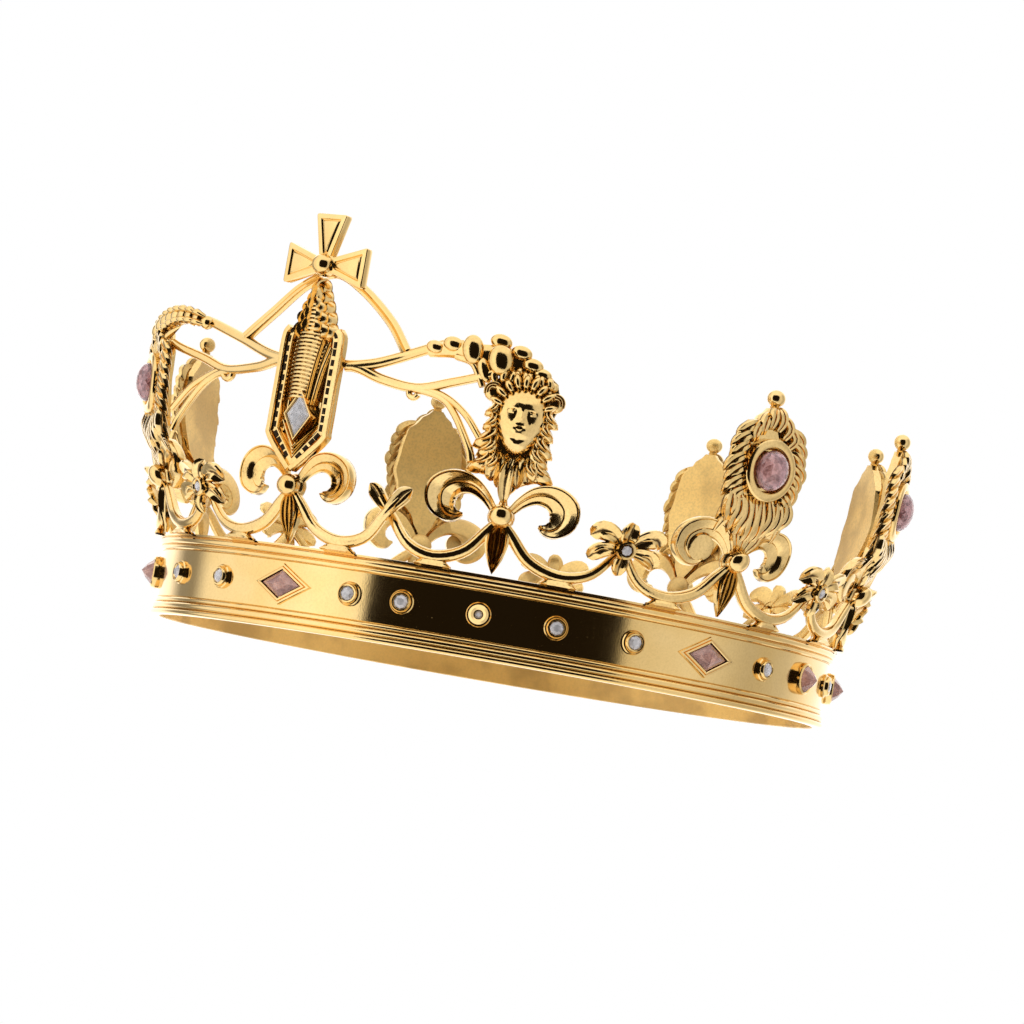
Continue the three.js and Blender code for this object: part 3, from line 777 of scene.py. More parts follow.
def lion_relief(x, y):
    """How far the mask stands out of its oval at a place, and how dark the place is painted: patina and
    painted shade in its cuts.
    """
    far = abs(x)
    socket = both_sides(x, y, 0.4, 0.26, 0.17, 0.07)
    eye = bump(far, y, 0.38, 0.24, 0.1, 0.045)
    upper_lid = bump(far, y, 0.38, 0.31 - 0.5 * (far - 0.38) ** 2, 0.15, 0.018)
    lid = upper_lid + bump(far, y, 0.38, 0.16, 0.12, 0.016)
    nostril = both_sides(x, y, 0.1, -0.05, 0.05, 0.03)
    mouth = bump(x, y, 0, -0.22 + 0.45 * x * x, 0.34, 0.02)
    fold = bump(x, y, 0, -0.56 + 0.15 * x * x, 0.34, 0.022) + 0.6 * bump(x, y, 0, -0.47, 0.3, 0.018)
    crease = bump(far - 0.34 + 0.5 * (y + 0.1), y, 0, -0.05, 0.03, 0.16)
    brow = bump(x, y, 0, 0.5, 0.6, 0.22) * 0.36
    ridge = both_sides(x, y, 0.4, 0.37, 0.26, 0.05) * 0.07
    nose = bump(x, y, 0, 0.18, 0.12, 0.2) * 0.34 + bump(x, y, 0, 0.0, 0.17, 0.06) * 0.34
    muzzle = both_sides(x, y, 0.18, -0.14, 0.24, 0.1) * 0.3
    jowl = bump(x, y, 0, -0.38, 0.34, 0.1) * 0.42
    chin = bump(x, y, 0, -0.72, 0.36, 0.13) * 0.24
    raised = brow + ridge + nose + muzzle + jowl + chin
    cut = socket * 0.12 - eye * 0.26 + lid * 0.1 + nostril * 0.12 + mouth * 0.22 + fold * 0.1 + crease * 0.08
    dark = socket * 0.1 + lid * 0.7 + nostril * 0.6 + mouth * 0.85 + fold * 0.5 + crease * 0.3
    return raised - cut, dark


def lion_face():
    """A long mask: round brow, deep eyes, straight nose, split muzzle and a narrow ribbed chin."""
    part = new_part()
    worth = part.verts.layers.float["worth"]
    bmesh.ops.create_uvsphere(part, u_segments=96, v_segments=72, radius=1)
    lying = Matrix.Rotation(math.radians(90), 3, "X")
    bmesh.ops.rotate(part, cent=(0, 0, 0), matrix=lying, verts=part.verts)
    for vert in part.verts:
        x, y, z = vert.co
        front = ease((z + 0.1) / 0.5)
        jaw = 1 - 0.27 * ease((0.1 - y) / 0.9)
        blunt = max(1 - abs(y) ** 3, 0) ** 0.5 / max(1 - y * y, 0.01) ** 0.5
        relief, dark = lion_relief(x, y)
        vert.co = Vector((x * 5.5 * jaw * blunt, y * 8.5, 3.4 * z + relief * 2.6 * front))
        # Patina and painted shade: the cuts of the face and the back of the mask are painted dark.
        vert[worth] = min(max(1 - 0.9 * dark * front - 0.8 * ease((0.2 - z) / 0.3), 0), 1)
    return placed(part, FACE_X, FACE_Y, 3.8, turn=-2)


def tress(x, y, tip_x, tip_y, width, out, bend=0.2, section=LOCK):
    """A lock that bows sideways by `bend` of its length and dips at both ends."""
    root, tip = Vector((x, y, 0)), Vector((tip_x, tip_y, 0))
    way = tip - root
    across = Vector((-way.y, way.x, 0)) * bend
    path = [root, root + way * 0.35 + across, root + way * 0.75 + across * 0.6, tip]
    rise = (-0.3, 0.8, 0.5, -0.8)
    points = [point + Vector((0, 0, out + up)) for point, up in zip(path, rise)]
    return lock(points, width, 1.5, 0.45, 0.5, section, 11)


# By how much a row of locks bends, then (x, y, tip x, tip y, half width, out) of each lock.
SIDE_LOCKS = {
    0.24: [
        (-5.2, 43.6, -7.4, 39.4, 1.3, 2.8), (-5.3, 40.6, -7.4, 35.8, 1.4, 2.8),
        (-5.0, 38.0, -9.3, 31.2, 2.0, 2.6), (-4.6, 34.6, -8.2, 29.0, 1.5, 2.9),
        (-4.4, 32.4, -10.1, 25.4, 2.1, 2.3), (-3.6, 30.4, -7.0, 25.0, 1.4, 2.7),
    ],
    -0.24: [
        (7.0, 43.4, 9.6, 38.8, 1.4, 2.8), (6.8, 40.4, 9.0, 35.2, 1.5, 2.8),
        (6.2, 37.2, 9.6, 31.0, 1.8, 2.7), (5.4, 33.8, 9.0, 28.4, 1.6, 2.9),
        (5.4, 31.4, 10.9, 25.2, 2.1, 2.3), (4.6, 30.0, 7.8, 24.8, 1.4, 2.7),
    ],
}
BEARD = [
    (-3.4, 30.8, -4.0, 23.4, 2.3, 3.2), (4.4, 31.0, 5.0, 23.9, 2.4, 3.2), (-1.4, 30.0, -2.2, 22.0, 1.6, 3.6),
    (2.6, 30.0, 2.6, 22.4, 1.6, 3.6), (0.6, 29.4, 0.1, 18.0, 1.8, 4.3),
]


def curl(side, x, y):
    """A rounded curl beside the brow, with ridges that follow it."""
    parts = [bead(x, y, 2.6, 2.3, (1, 1.1, 0.8), worth=0.9, rings=12)]
    for ring in range(3):
        size = 2.2 - 0.65 * ring
        turns = [math.radians(90 - side * (110 - 32 * k)) for k in range(7)]
        arc = [(x + size * math.cos(a), y + 1.1 * size * math.sin(a), 3.2 + 0.7 * ring) for a in turns]
        parts.append(lock(arc, 0.3, 0.7, 0.5, 0.7, LOCK, 14))
    return parts


def mane():
    """Locks that frame the mask: a fringe, two curls, side locks that flare out and a pointed beard."""
    stalk = [Vector((0, 16.4 + 1.1 * i, 1.8)) for i in range(5)]
    parts = [sweep(stalk, lambda t: 1.5 - 0.9 * t, steady(1.2), BAR)]
    parts += [tress(*one, bend) for bend, rows in SIDE_LOCKS.items() for one in rows]
    parts += [tress(*one, 0.05 * (1 if one[0] < 0 else -1), SPOON) for one in BEARD]
    for bend, rows in SIDE_LOCKS.items():
        for x, y, tip_x, tip_y, width, out in rows:
            end_x, end_y = x + 0.78 * (tip_x - x), y + 0.78 * (tip_y - y)
            for shift in (-0.36 * width, 0.36 * width):
                parts.append(tress(x + shift, y + 0.3, end_x + shift * 0.6, end_y, 0.42, out + 0.9, bend))
    for i in range(9):
        angle = math.radians(26 + 128 * i / 8)
        x, y = FACE_X + 5.1 * math.cos(angle), FACE_Y + 8.2 * math.sin(angle)
        far = 2.4 + 1.2 * math.sin(angle) + 0.6 * (i % 2)
        parts.append(tress(x, y, x + far * math.cos(angle), y + far * math.sin(angle), 1.0, 3.9, 0.05))
    for i in range(8):
        x = -4.4 + 1.5 * i
        parts.append(tress(x * 0.9, 51.8 - 0.02 * x * x, x, 48.2, 1.0, 2.7, 0.1 * (1 if i % 2 else -1)))
    return [*parts, *curl(-1, -6.1, 45.7), *curl(1, 7.9, 45.2)]


def mane_back():
    """The smooth plate that carries the mane, mask and crest."""
    low, high = MANE_EDGE[0][1], MANE_EDGE[-1][1]
    spine = [Vector((0.2 + 0.04 * i, low + (high - low) * i / 32, 1.4)) for i in range(33)]
    return sweep(spine, lambda t: half_at(MANE_EDGE, low + (high - low) * t), steady(1.3), PLATE)


def lion_crest():
    """Graded beads on a stalk that grow towards the mask, with small drops under them."""
    stalk = [
        (-24, 54.0, -3.2), (-17, 55.4, -1.4), (-11, 54.4, 0.8), (-5, 54.6, 1.0), (1, 52.8, 1.2),
        (5, 48.8, 1.4),
    ]
    swell = lambda t: 1.5 + 1.6 * math.sin(math.pi * t)
    parts = [sweep(curve_through(stalk, 30), swell, steady(1.3), round_section(8, 0.9))]
    drops = [
        (-22.4, 55.2, -1.8, 1.9), (-17.9, 56.5, -0.9, 2.15), (-6.5, 58.7, 1.2, 2.2), (-1.4, 56.6, 1.9, 2.1),
        (1.6, 53.8, 2.4, 2.1), (4.1, 51.9, 2.5, 1.8), (6.2, 49.3, 2.4, 1.6),
    ]
    parts += [bead(*drop, (1.2, 0.92, 0.85), -12, rings=11) for drop in drops]
    parts.append(bead(-12.6, 55.6, 1.4, 2.6, (1, 1.5, 0.85), 10, rings=13))
    parts.append(bead(-5.7, 53.8, 3.2, 2.95, (1, 1.4, 0.9), 12, rings=14))
    parts.append(bead(-9.1, 50.8, 2.2, 1.6, (1, 2.1, 0.9), 22, rings=11))
    lower_edge = [(-16.5, 53.4, -0.6), (-12.6, 52.4, 0.8), (-10.6, 49.8, 1.4), (-9.0, 46.6, 1.6)]
    parts.append(sweep(curve_through(lower_edge, 18), steady(0.9), steady(1.1), BAR))
    buds = [(-6.6, 49.4, 18), (-3.9, 50.4, 6), (-1.3, 51.0, -8), (3.2, 49.2, -22), (5.6, 46.9, -30)]
    for x, y, lean in buds:
        parts.append(bead(x, y, 3.0, 0.9, (1, 2.0, 1), lean, worth=0.9, rings=7))
    return parts


# ---- the centre fleuron -----------------------------------------------------------------------------
def notches(ledge, side):
    """Coarse cuts at uneven spacing along a ledge."""
    rand = random.Random(5 + side)
    # Patina and painted shade: the cuts are painted near black.
    dark = [(x, y, 0.03) for x, y, _ in THIN_BAR]
    raised = Vector((side * 0.25, 0, 1.4))
    last = ledge[8]
    pitch = 2.0
    parts = []
    for here, beyond in zip(ledge[16:-10], ledge[17:]):
        if (here - last).length > pitch:
            last = here
            pitch = rand.uniform(1.9, 2.7)
            along = (beyond - here).normalized() * rand.uniform(0.75, 0.95)
            notch = [here - along + raised, here + raised, here + along + raised]
            parts.append(sweep(notch, steady(0.62), steady(0.2), dark))
    return parts


def tray_side(side):
    """One long side of the tray: a smooth outer rim, a notched inner ledge and a slope to the floor."""
    edge = [(0.3, 19.2), (4.4, 23.2), (8.4, 27.7), (8.7, 30.4), (8.7, 42), (8.7, 53.4), (7.4, 56.3)]
    inside = [(x - 1.7 * min(1, i / 2 + 0.3), y + (1.3 if i < 3 else -0.2)) for i, (x, y) in enumerate(edge)]
    low = [(x - 1.5, y + (1.3 if i < 3 else -0.6)) for i, (x, y) in enumerate(inside)]
    wall = mirrored_section([(1, -0.9, 0.8), (1, 0.55, 0.95), (0.7, 0.92, 1), (0, 1, 1)])
    rim, ledge, slope = (
        curve_through([(side * x, y, out) for x, y in line], steps)
        for line, out, steps in ((edge, 3.85, 44), (inside, 3.0, 240), (low, 1.6, 44))
    )
    return [
        sweep(rim, steady(0.85), steady(1.35), wall),
        sweep(ledge, steady(0.95), steady(1.5), wall),
        sweep(slope, steady(1.1), steady(1.3), LOCK),
        *notches(ledge, side),
    ]


def tray_filling():
    """Inside the tray: its floor, a ribbed column, folded planes and stepped chevrons."""
    floor_half = lambda t: 8.4 * min(1, 0.12 + t / 0.26)
    floor = [Vector((0, 20.5 + 34.5 * i / 20, 1.0)) for i in range(21)]
    parts = [sweep(floor, floor_half, steady(0.9), BAR)]
    for i in range(24):
        y = 37.8 + 1.06 * i
        wide = 2.6 + 1.4 * ease(i / 9)
        shift = -1.6 + 1.2 * i / 20
        rib = [
            (shift - wide, y - 0.5, 3.4),
            (shift - wide * 0.4, y + 0.1, 5.4),
            (shift + wide * 0.45, y + 0.2, 5.3),
            (shift + wide, y - 0.2, 3.2),
        ]
        parts.append(sweep(curve_through(rib, 8), steady(0.4), steady(0.62), round_section(8, 1.1)))
        parts.append(bead(shift - wide * 0.85, y - 0.2, 4.3, 0.5, (1.2, 0.85, 1), rings=5))
    for k, (x0, x1, out) in enumerate(((1.0, 3.2, 3.0), (2.2, 5.0, 2.6), (3.4, 6.2, 3.2))):
        fold = [(x0, 35.5 + k, out), (x0 + (x1 - x0) * 0.5, 45, out + 0.5), (x1, 54.5 - 1.5 * k, out)]
        parts.append(sweep(curve_through(fold, 12), steady(0.75), steady(1.5), LOCK))
    for k in range(4):
        half, top = 5.6 - 0.9 * k, 31.6 - 1.3 * k
        low = Vector((0, 24.9 - 2.05 * k * 0.6 + 0.4 * k, 4.2 - 0.3 * k))
        for a, b in ((Vector((-half, top, 2.6)), low), (low, Vector((half, top, 2.6)))):
            parts.append(sweep([a, (a + b) / 2, b], steady(0.46), steady(0.9), LOCK))
    return parts


def clear_collet():
    """The lozenge frame of the clear stone."""
    profile = [
        (5.2, 1.6, 0.5), (5.2, 4.6, 0.9), (4.95, 5.3, 1), (4.6, 5.3, 1), (4.35, 4.8, 0.7), (4.2, 3.0, 0.5),
        (4.2, 1.6, 0.5),
    ]
    return placed(spun(profile, 4, closed=True), 0, CLEAR_STONE_Y, 0, LOZENGE_SHAPE)


def husk_leaves(side, y, wide, size, lean):
    """The outer, middle and inner leaf on one side of a tier; the narrow tiers have no inner one."""
    tip = (wide + 0.3 + lean, 1.2, 3.2)
    outer = [(wide - 1.2, -2.6, 2.6), (wide + 0.5, -0.6, 3.4), tip, (wide - 1.0, 3.0, 2.4)]
    middle = [(wide - 1.6, -1.8, 3.6), (wide - 1.0, 0.4, 4.8), (wide - 2.2, 3.2, 3.6)]
    inner = [(wide * 0.25, -0.6, 4.6), (wide * 0.4, 1.4, 5.5), (wide * 0.15, 4.2, 4.2)]
    leaves = [(outer, 0.95, 1.6, 10), (middle, 0.8, 1.2, 9)]
    if wide > 2:
        leaves.append((inner, 0.7, 1.1, 9))
    parts = []
    for path, share, height, steps in leaves:
        points = [(side * x, y + up, out) for x, up, out in path]
        parts.append(lock(points, size * share, height, 0.45, 0.5, RIDGE, steps, 0.5))
    return parts


def husk():
    """Knobbly leaves that close over the column and rise to a point under the cross."""
    core = [Vector((0, 54.5 + (HUSK_TIP - 54.9) * i / 12, 2.4)) for i in range(13)]
    core_half = lambda t: 3.6 * (1 - t) ** 0.8 + 0.7
    parts = [sweep(core, core_half, lambda t: 2.2 * (1 - t) + 1.0, round_section(12, 0.3))]
    tiers = ((55.6, 4.9, 1.5), (58.6, 4.2, 1.4), (61.4, 3.2, 1.25), (64.0, 2.2, 1.1), (66.4, 1.3, 0.9))
    rand = random.Random(11)
    for y, wide, size in tiers:
        for side in (-1, 1):
            parts += husk_leaves(side, y, wide, size, rand.uniform(-0.3, 0.3))
    return parts


# ---- flowers, cross, carriers, arch -----------------------------------------------------------------
def petal(points, width, height, section=SPOON, root=0.3, belly=0.45):
    """One leaf of the flower, blunt at its end."""
    path = [(0.93 * x, 0.93 * y + FLOWER_Y, out) for x, y, out in points]
    return lock(path, width, height, belly, root, section, 12, 0.45)


def flower():
    """A small six-leaved flower with a bezel in its middle."""
    parts = [
        petal([(0.2, 0.8, 3.6), (-0.1, 3.2, 4.4), (0.2, 5.6, 4.5), (1.0, 7.8, 3.4)], 2.3, 1.5),
        petal([(0, -0.8, 3.6), (-0.4, -3.0, 4.2), (-0.6, -5.0, 4.1), (-0.2, -7.0, 3.0)], 2.0, 1.4),
    ]
    upper = [(1.0, 0.9, 3.6), (3.8, 3.3, 4.7), (7.2, 4.4, 4.7), (9.8, 2.6, 3.2)]
    lower = [(1.2, -0.2, 3.4), (4.4, -0.3, 4.6), (7.4, -1.4, 4.5), (9.2, -3.6, 3.0)]
    leaves = [(upper, 2.6, 1.6, SPOON, 0.3, 0.66), (lower, 2.2, 1.6, SPOON, 0.3, 0.62)]
    for k in range(2):
        start, middle = (3.4 + k, 3.4 - 3.9 * k, 4.6), (5.6 + k, 4.1 - 4.6 * k, 4.9)
        rib = [start, middle, (8 + 0.5 * k, 3.4 - 5.6 * k, 4.4)]
        leaves.append((rib, 0.5, 0.8, LOCK, 0.5, 0.4))
    for side in (-1, 1):
        parts += [petal([(side * x, y, out) for x, y, out in path], *shape) for path, *shape in leaves]
    ring = [
        (2.2, 3.2, 0.5), (2.5, 5.4, 0.9), (2.25, 6.0, 1), (1.75, 6.1, 1), (1.45, 5.6, 0.8), (1.4, 4.6, 0.6),
        (0, 4.6, 0.6), (0, 3.2, 0.6),
    ]
    return [*parts, placed(spun(ring, 24), 0, FLOWER_Y)]


def cross_parts():
    """Three flared arms, the stem from the husk and a ball on a hub."""
    parts = []
    for turn, long, wide in ((0, 12.2, 5.5), (90, 13.4, 4.8), (180, 12.2, 5.5)):
        outline = [(1.6, -1.7), (long, -wide), (long, wide), (1.6, 1.7)]
        parts.append(placed(panel(outline, CROSS_OUT - 1.3, CROSS_OUT + 1.3), 0, CROSS_Y, 0, turn=turn))
    stem = [Vector((0, y, CROSS_OUT)) for y in (HUSK_TIP + 0.2, 71, CROSS_Y)]
    parts.append(sweep(stem, lambda t: 1.2 + 0.4 * t, steady(1.2), round_section(12, 0.8)))
    hub = [(3.1, 3.6, 0.4), (3.2, 4.9, 0.8), (2.8, 5.4, 0.5), (0, 5.4, 0.5), (0, 3.6, 0.5)]
    parts.append(placed(spun(hub, 28), 0, CROSS_Y))
    parts.append(bead(0, CROSS_Y, CROSS_OUT + 1.4, 2.75, rings=16))
    return parts


class Reach:
    """A carrier; its stations are shares of the way to a neighbour's crest and heights above the foot."""

    def __init__(self, start, end, high, low):
        self.start = start
        self.end = end
        self.high = high
        self.low = low

    def point(self, along, height):
        """A station's place over the centre fleuron's flat design."""
        out = 3 + 5.5 * along - 4.4 * math.sin(math.pi * min(along / 1.45, 1))
        turn = self.start + (self.end - self.start) * along - CENTRE_TURN
        return Vector((math.radians(turn) * WALL_RADIUS, height - BAND_TOP, out))

    def bar(self, stations, thick, thin, steps=24):
        """A round bar that runs from thick to thin through the stations."""
        points = curve_through([self.point(*station) for station in stations], steps)
        size = lambda t: thick + (thin - thick) * t
        return sweep(points, size, lambda t: size(t) * 1.05, BAR)

    def parts(self):
        """The upper and lower bars, two braces, the hook and the knob."""
        high, low = self.high, self.low
        upper = [(-0.06, 69.6), (0.08, 70.1), (0.3, 71.6), (0.6, 74.6), (0.95, 78.0), (1.06, 78.9)]
        lower = [(0.0, 69.8), (0.12, 69.2), (0.36, 67.3), (0.75, 66.3), (high * 0.8, 68.8), (high, 71)]
        brace = [(0.62, 66.3), (low * 0.72, 64.6), (low * 0.86, 60.6), (low, 52.6), (low + 0.05, 49)]
        second = [(0.75, 66.6), (low * 0.76, 65.0), (low * 0.94, 60.8), (low * 1.08, 54.6)]
        turns = [math.radians(60 + 40 * k) for k in range(8)]
        hook = [self.point(0.72 + 0.055 * math.cos(a), 65.2 + 1.5 * math.sin(a)) for a in turns]
        knob_at = self.point(0.15, 69.9)
        return [
            self.bar(upper, 1.6, 1.3),
            self.bar([*lower, (high + 0.12, 72.4)], 1.5, 1.15, 32),
            self.bar(brace, 0.95, 1.0),
            self.bar(second, 0.8, 0.9),
            sweep(curve_through(hook, 20), steady(0.85), steady(0.95), BAR),
            bead(*knob_at, 1.1, (1.5, 1, 1), worth=0.5, rings=7),
        ]


def reaches():
    """The two carriers, which end on the beads of the left and the lion's fleuron."""
    return {
        "left": Reach(CENTRE_TURN - 6.6, LEFT_TURN + 12.5, 1.28, 1.19),
        "right": Reach(CENTRE_TURN + 6.6, LION_TURN - 12.5, 1.43, 1.41),
    }


def arch_parts():
    """A grooved bar that springs from both carriers and passes behind the cross."""
    found = reaches()

    def over(turn, height):
        return Vector((math.radians(turn) * WALL_RADIUS, height - BAND_TOP, 1.0))

    left = [found["left"].point(0.56, 75.2), over(-12.3, 82.5), over(-6, 90)]
    right = [over(6 * 0.94, 90), over(12.3 * 0.94, 82.5), found["right"].point(0.56, 75.2)]
    points = curve_through([*left, over(0, 93.6), *right], 60)
    groove = [(1, -0.2, 0.8), (0.95, 0.5, 0.95), (0.6, 1, 1), (0.25, 0.95, 0.9), (0, 0.62, 0.25)]
    section = mirrored_section(groove, [(-0.6, -0.9, 0.9), (0.6, -0.9, 0.9)])
    return [sweep(points, steady(1.4), steady(1.35), section)]


# ---- band -------------------------------------------------------------------------------------------
def moulding(radius, height, size, count=7):
    """Corners of a half-round moulding, from its foot up."""
    turns = [-math.pi / 2 + math.pi * i / (count - 1) for i in range(count)]
    return [(radius + size * math.cos(a), height + size * math.sin(a), 1.0) for a in turns]


def band_profile():
    """(radius, height, worth) round the band's section, from the inner foot outwards and up."""
    foot = [(INNER_RADIUS, 0.25, 0.9), (INNER_RADIUS + 0.3, 0, 0.9), (RIM_RADIUS - 1.5, 0, 0.9)]
    low = [
        *moulding(RIM_RADIUS - 1.5, 0.75, 0.75),
        (RIM_RADIUS - 1.6, 1.6, 0.1),
        *moulding(RIM_RADIUS - 1.9, 2.55, 0.9),
        (RIM_RADIUS - 2.0, 3.5, 0.1),
        *moulding(RIM_RADIUS - 2.3, 4.2, 0.65),
        (WALL_RADIUS - 0.2, 4.95, 0.05),
    ]
    wall = [(WALL_RADIUS - 0.05 + 0.3 * i / 8, 5.1 + 12.3 * i / 8, 1.0) for i in range(9)]
    high = [
        (WALL_RADIUS + 0.15, 17.55, 0.05),
        *moulding(RIM_RADIUS - 1.3, 18.25, 0.62),
        (RIM_RADIUS - 1.3, 18.95, 0.1),
        *moulding(RIM_RADIUS - 1.1, 20.0, 0.95),
        (RIM_RADIUS - 1.1, 21.0, 0.15),
        (RIM_RADIUS - 0.7, 21.2, 0.75),
        (RIM_RADIUS - 0.8, BAND_TOP - 0.1, 0.85),
        (RIM_RADIUS - 1.2, BAND_TOP, 0.6),
        (INNER_RADIUS + 0.3, BAND_TOP, 0.55),
        (INNER_RADIUS, BAND_TOP - 0.3, 0.9),
    ]
    inside = [(INNER_RADIUS, BAND_TOP * (1 - i / 5), 0.95) for i in range(1, 5)]
    return [*foot, *low, *wall, *high, *inside]


def lozenge_collet():
    """A stepped lozenge frame, long along the band."""
    profile = [
        (9.5, -0.8, 0.5), (9.5, 0.45, 0.9), (9.2, 0.75, 1), (8.3, 0.8, 1), (8.0, 0.55, 0.2), (7.8, 1.1, 1),
        (7.0, 1.25, 1), (6.7, 1.1, 0.8), (6.3, 0.0, 0.4), (0, -0.1, 0.4), (0, -0.8, 0.4),
    ]
    part = spun(profile, 4)
    bmesh.ops.subdivide_edges(part, edges=part.edges, cuts=5, use_grid_fill=True)
    return placed(part, scale=(1, 0.575, 1))


def round_cup():
    """A stepped round bezel."""
    profile = [
        (3.3, -0.8, 0.4), (3.2, 0.7, 0.75), (2.95, 1.0, 1), (2.75, 0.95, 0.35), (2.65, 1.6, 0.95),
        (2.35, 2.0, 1), (2.0, 1.95, 1), (1.8, 1.6, 0.8), (1.75, 0.9, 0.5), (0, 0.8, 0.5), (0, -0.8, 0.5),
    ]
    return spun(profile, 28)


def pierced_cup():
    """A broader gold bezel round a pinhole."""
    profile = [
        (3.3, -0.8, 0.4), (3.25, 0.9, 0.8), (3.0, 1.2, 1), (2.7, 1.1, 0.4), (2.55, 1.7, 1), (1.9, 2.1, 1),
        (1.25, 1.7, 0.9), (1.1, 0.6, 0.1), (0, 0.5, 0.1), (0, -0.8, 0.5),
    ]
    return spun(profile, 28)


def point_cup():
    """A deep collet for a pointed stone."""
    profile = [
        (4.3, -0.8, 0.4), (4.4, 0.9, 0.85), (4.2, 1.9, 1), (3.8, 2.2, 1), (3.5, 1.9, 0.8), (3.4, 1.2, 0.5),
        (0, 1.1, 0.5), (0, -0.8, 0.5),
    ]
    return spun(profile, 20)


# ---- stones -----------------------------------------------------------------------------------------
def cut_stone(girdle, crown, table, pavilion, sides):
    """A cut stone from its girdle radius, crown height, table radius and depth below."""
    profile = [(0, -pavilion, 1), (girdle, 0, 1), (girdle * 0.5, crown * 0.62, 1), (0, crown, 1)]
    if table > 0:
        slope = [(girdle, 0.12, 1), ((girdle + table) / 2, crown * 0.62, 1), (table, crown, 1)]
        profile[2:3] = slope
    return spun(profile, sides)


def rose_cut():
    """A domed stone under triangular facets."""
    part = new_part()
    bmesh.ops.create_icosphere(part, subdivisions=3, radius=1)
    return placed(part, 0, BEZEL_Y, 5.2, (4.3, 5.3, 2.9))


# ---- settings a user would change -------------------------------------------------------------------
def length_setting(name, text, default):
    """A size that a user would change."""
    return bpy.props.FloatProperty(name=name, description=text, default=default, unit="LENGTH", precision=5)


def angle_setting(name, text, degrees):
    """An angle that a user would change."""
    turn = math.radians(degrees)
    return bpy.props.FloatProperty(name=name, description=text, default=turn, subtype="ANGLE")


def colour_setting(name, text, default):
    """A colour that a user would change."""
    return bpy.props.FloatVectorProperty(name=name, description=text, default=default, subtype="COLOR")


class CrownSizes(bpy.types.PropertyGroup):
    """Sizes of the crown's repeated parts."""

    ball_radius: length_setting("Ball", "Radius of the ball on each fleuron", 0.0030)
    arm_radius: length_setting("Arm", "Radius of the scroll arms", 0.00155)
    scroll_radius: length_setting("Scroll", "Outer radius of the scrolls beside each ball", 0.0067)
    band_steps: bpy.props.IntProperty(name="Band steps", description="Steps round the band", default=288)


class CrownLooks(bpy.types.PropertyGroup):
    """Colours and polish."""

    gold: colour_setting("Gold", "Polished gold", (0.88, 0.62, 0.27))
    gold_deep: colour_setting("Deep gold", "Warmer patches of the gold", (0.84, 0.565, 0.215))
    satin: colour_setting("Satin", "Gold of the inner sides", (1.0, 0.67, 0.22))
    smudge: colour_setting("Smudge", "Stains on the inner sides", (0.42, 0.25, 0.085))
    # Patina and painted shade: the recesses are painted with these two colours, the deepest near black.
    patina_and_shade: colour_setting("Patina", "Dark colour in the recesses", (0.15, 0.078, 0.024))
    grime_and_shade: colour_setting("Grime", "Near black of the deepest recesses", (0.018, 0.010, 0.004))
    roughness: bpy.props.FloatProperty(
        name="Polish", description="Roughness of the polished gold", default=0.07, subtype="FACTOR"
    )
    violet_stone: colour_setting("Oval stones", "Colour of the domed stones", (0.62, 0.29, 0.30))
    pink_stone: colour_setting("Pink stones", "Colour of the band's pink stones", (0.95, 0.42, 0.34))
    clear_stone: colour_setting("Clear stones", "Colour of the clear stones", (1.0, 0.97, 1.0))
    floor: colour_setting("Floor", "Colour of the floor", (0.86, 0.855, 0.85))


class CrownStudio(bpy.types.PropertyGroup):
    """Camera and light."""

    distance: length_setting("Distance", "Camera to the middle of the crown's foot", 1.2635)
    elevation: angle_setting("Elevation", "Camera's height as an angle", -1.71)
    roll: angle_setting("Roll", "Camera's roll", 9.78)
    lens: bpy.props.FloatProperty(
        name="Lens", description="Focal length", default=160.9, subtype="DISTANCE_CAMERA"
    )
    aim_right: angle_setting("Aim right", "Turn of the aim from the crown's foot", 0.333)
    aim_up: angle_setting("Aim up", "Lift of the aim from the crown's foot", 2.006)


# ---- operators --------------------------------------------------------------------------------------
class CROWN_OT_band(bpy.types.Operator):
    """Make the moulded band with its collets and bezels"""

    bl_idname = "crown.band"
    bl_label = "Band"

    def execute(self, context):
        ring = spun(band_profile(), context.scene.crown_sizes.band_steps, closed=True)
        bmesh.ops.scale(ring, vec=(MM, MM, MM), verts=ring.verts)
        parts = [ring]
        kinds = {"lozenge_stone": lozenge_collet, "pointed_stone": point_cup, "round_stone": round_cup}
        for stem, maker in kinds.items():
            for turn in turns_of(stem):
                made = pierced_cup() if stem == "round_stone" and is_pierced(turn) else maker()
                parts.append(rolled(made, turn, WALL_MID, 0))
        keep("moulded_band", merged(parts), "polished_gold", ["band"], 32)
        return {"FINISHED"}


class CROWN_OT_band_stones(bpy.types.Operator):
    """Set the stones of the band"""

    bl_idname = "crown.band_stones"
    bl_label = "Band stones"

    def execute(self, context):
        # Each kind is (slot, cut, how far out, scale).
        kinds = {
            "lozenge_stone": ("pink_stone", (6.1, 1.5, 0, 1.0, 4), 0.75, (1, 0.58, 1)),
            "pointed_stone": ("pink_stone", (3.6, 3.2, 0, 1.2, 8), 1.9, (1, 1, 1)),
            "round_stone": ("clear_stone", (1.85, 0.7, 0.95, 1.0, 8), 1.55, (1, 1, 1)),
        }
        for stem, (slot, cut, out, scale) in kinds.items():
            for i, turn in enumerate(turns_of(stem)):
                node = f"{stem}_{i + 1}"
                stone = placed(cut_stone(*cut), 0, 0, out, scale)
                if is_pierced(turn):
                    bmesh.ops.scale(stone, vec=(0.56, 0.56, 0.56), verts=stone.verts)
                keep(f"cut_{node}", rolled(stone, turn, WALL_MID, 0), slot, [node], 0)
        return {"FINISHED"}


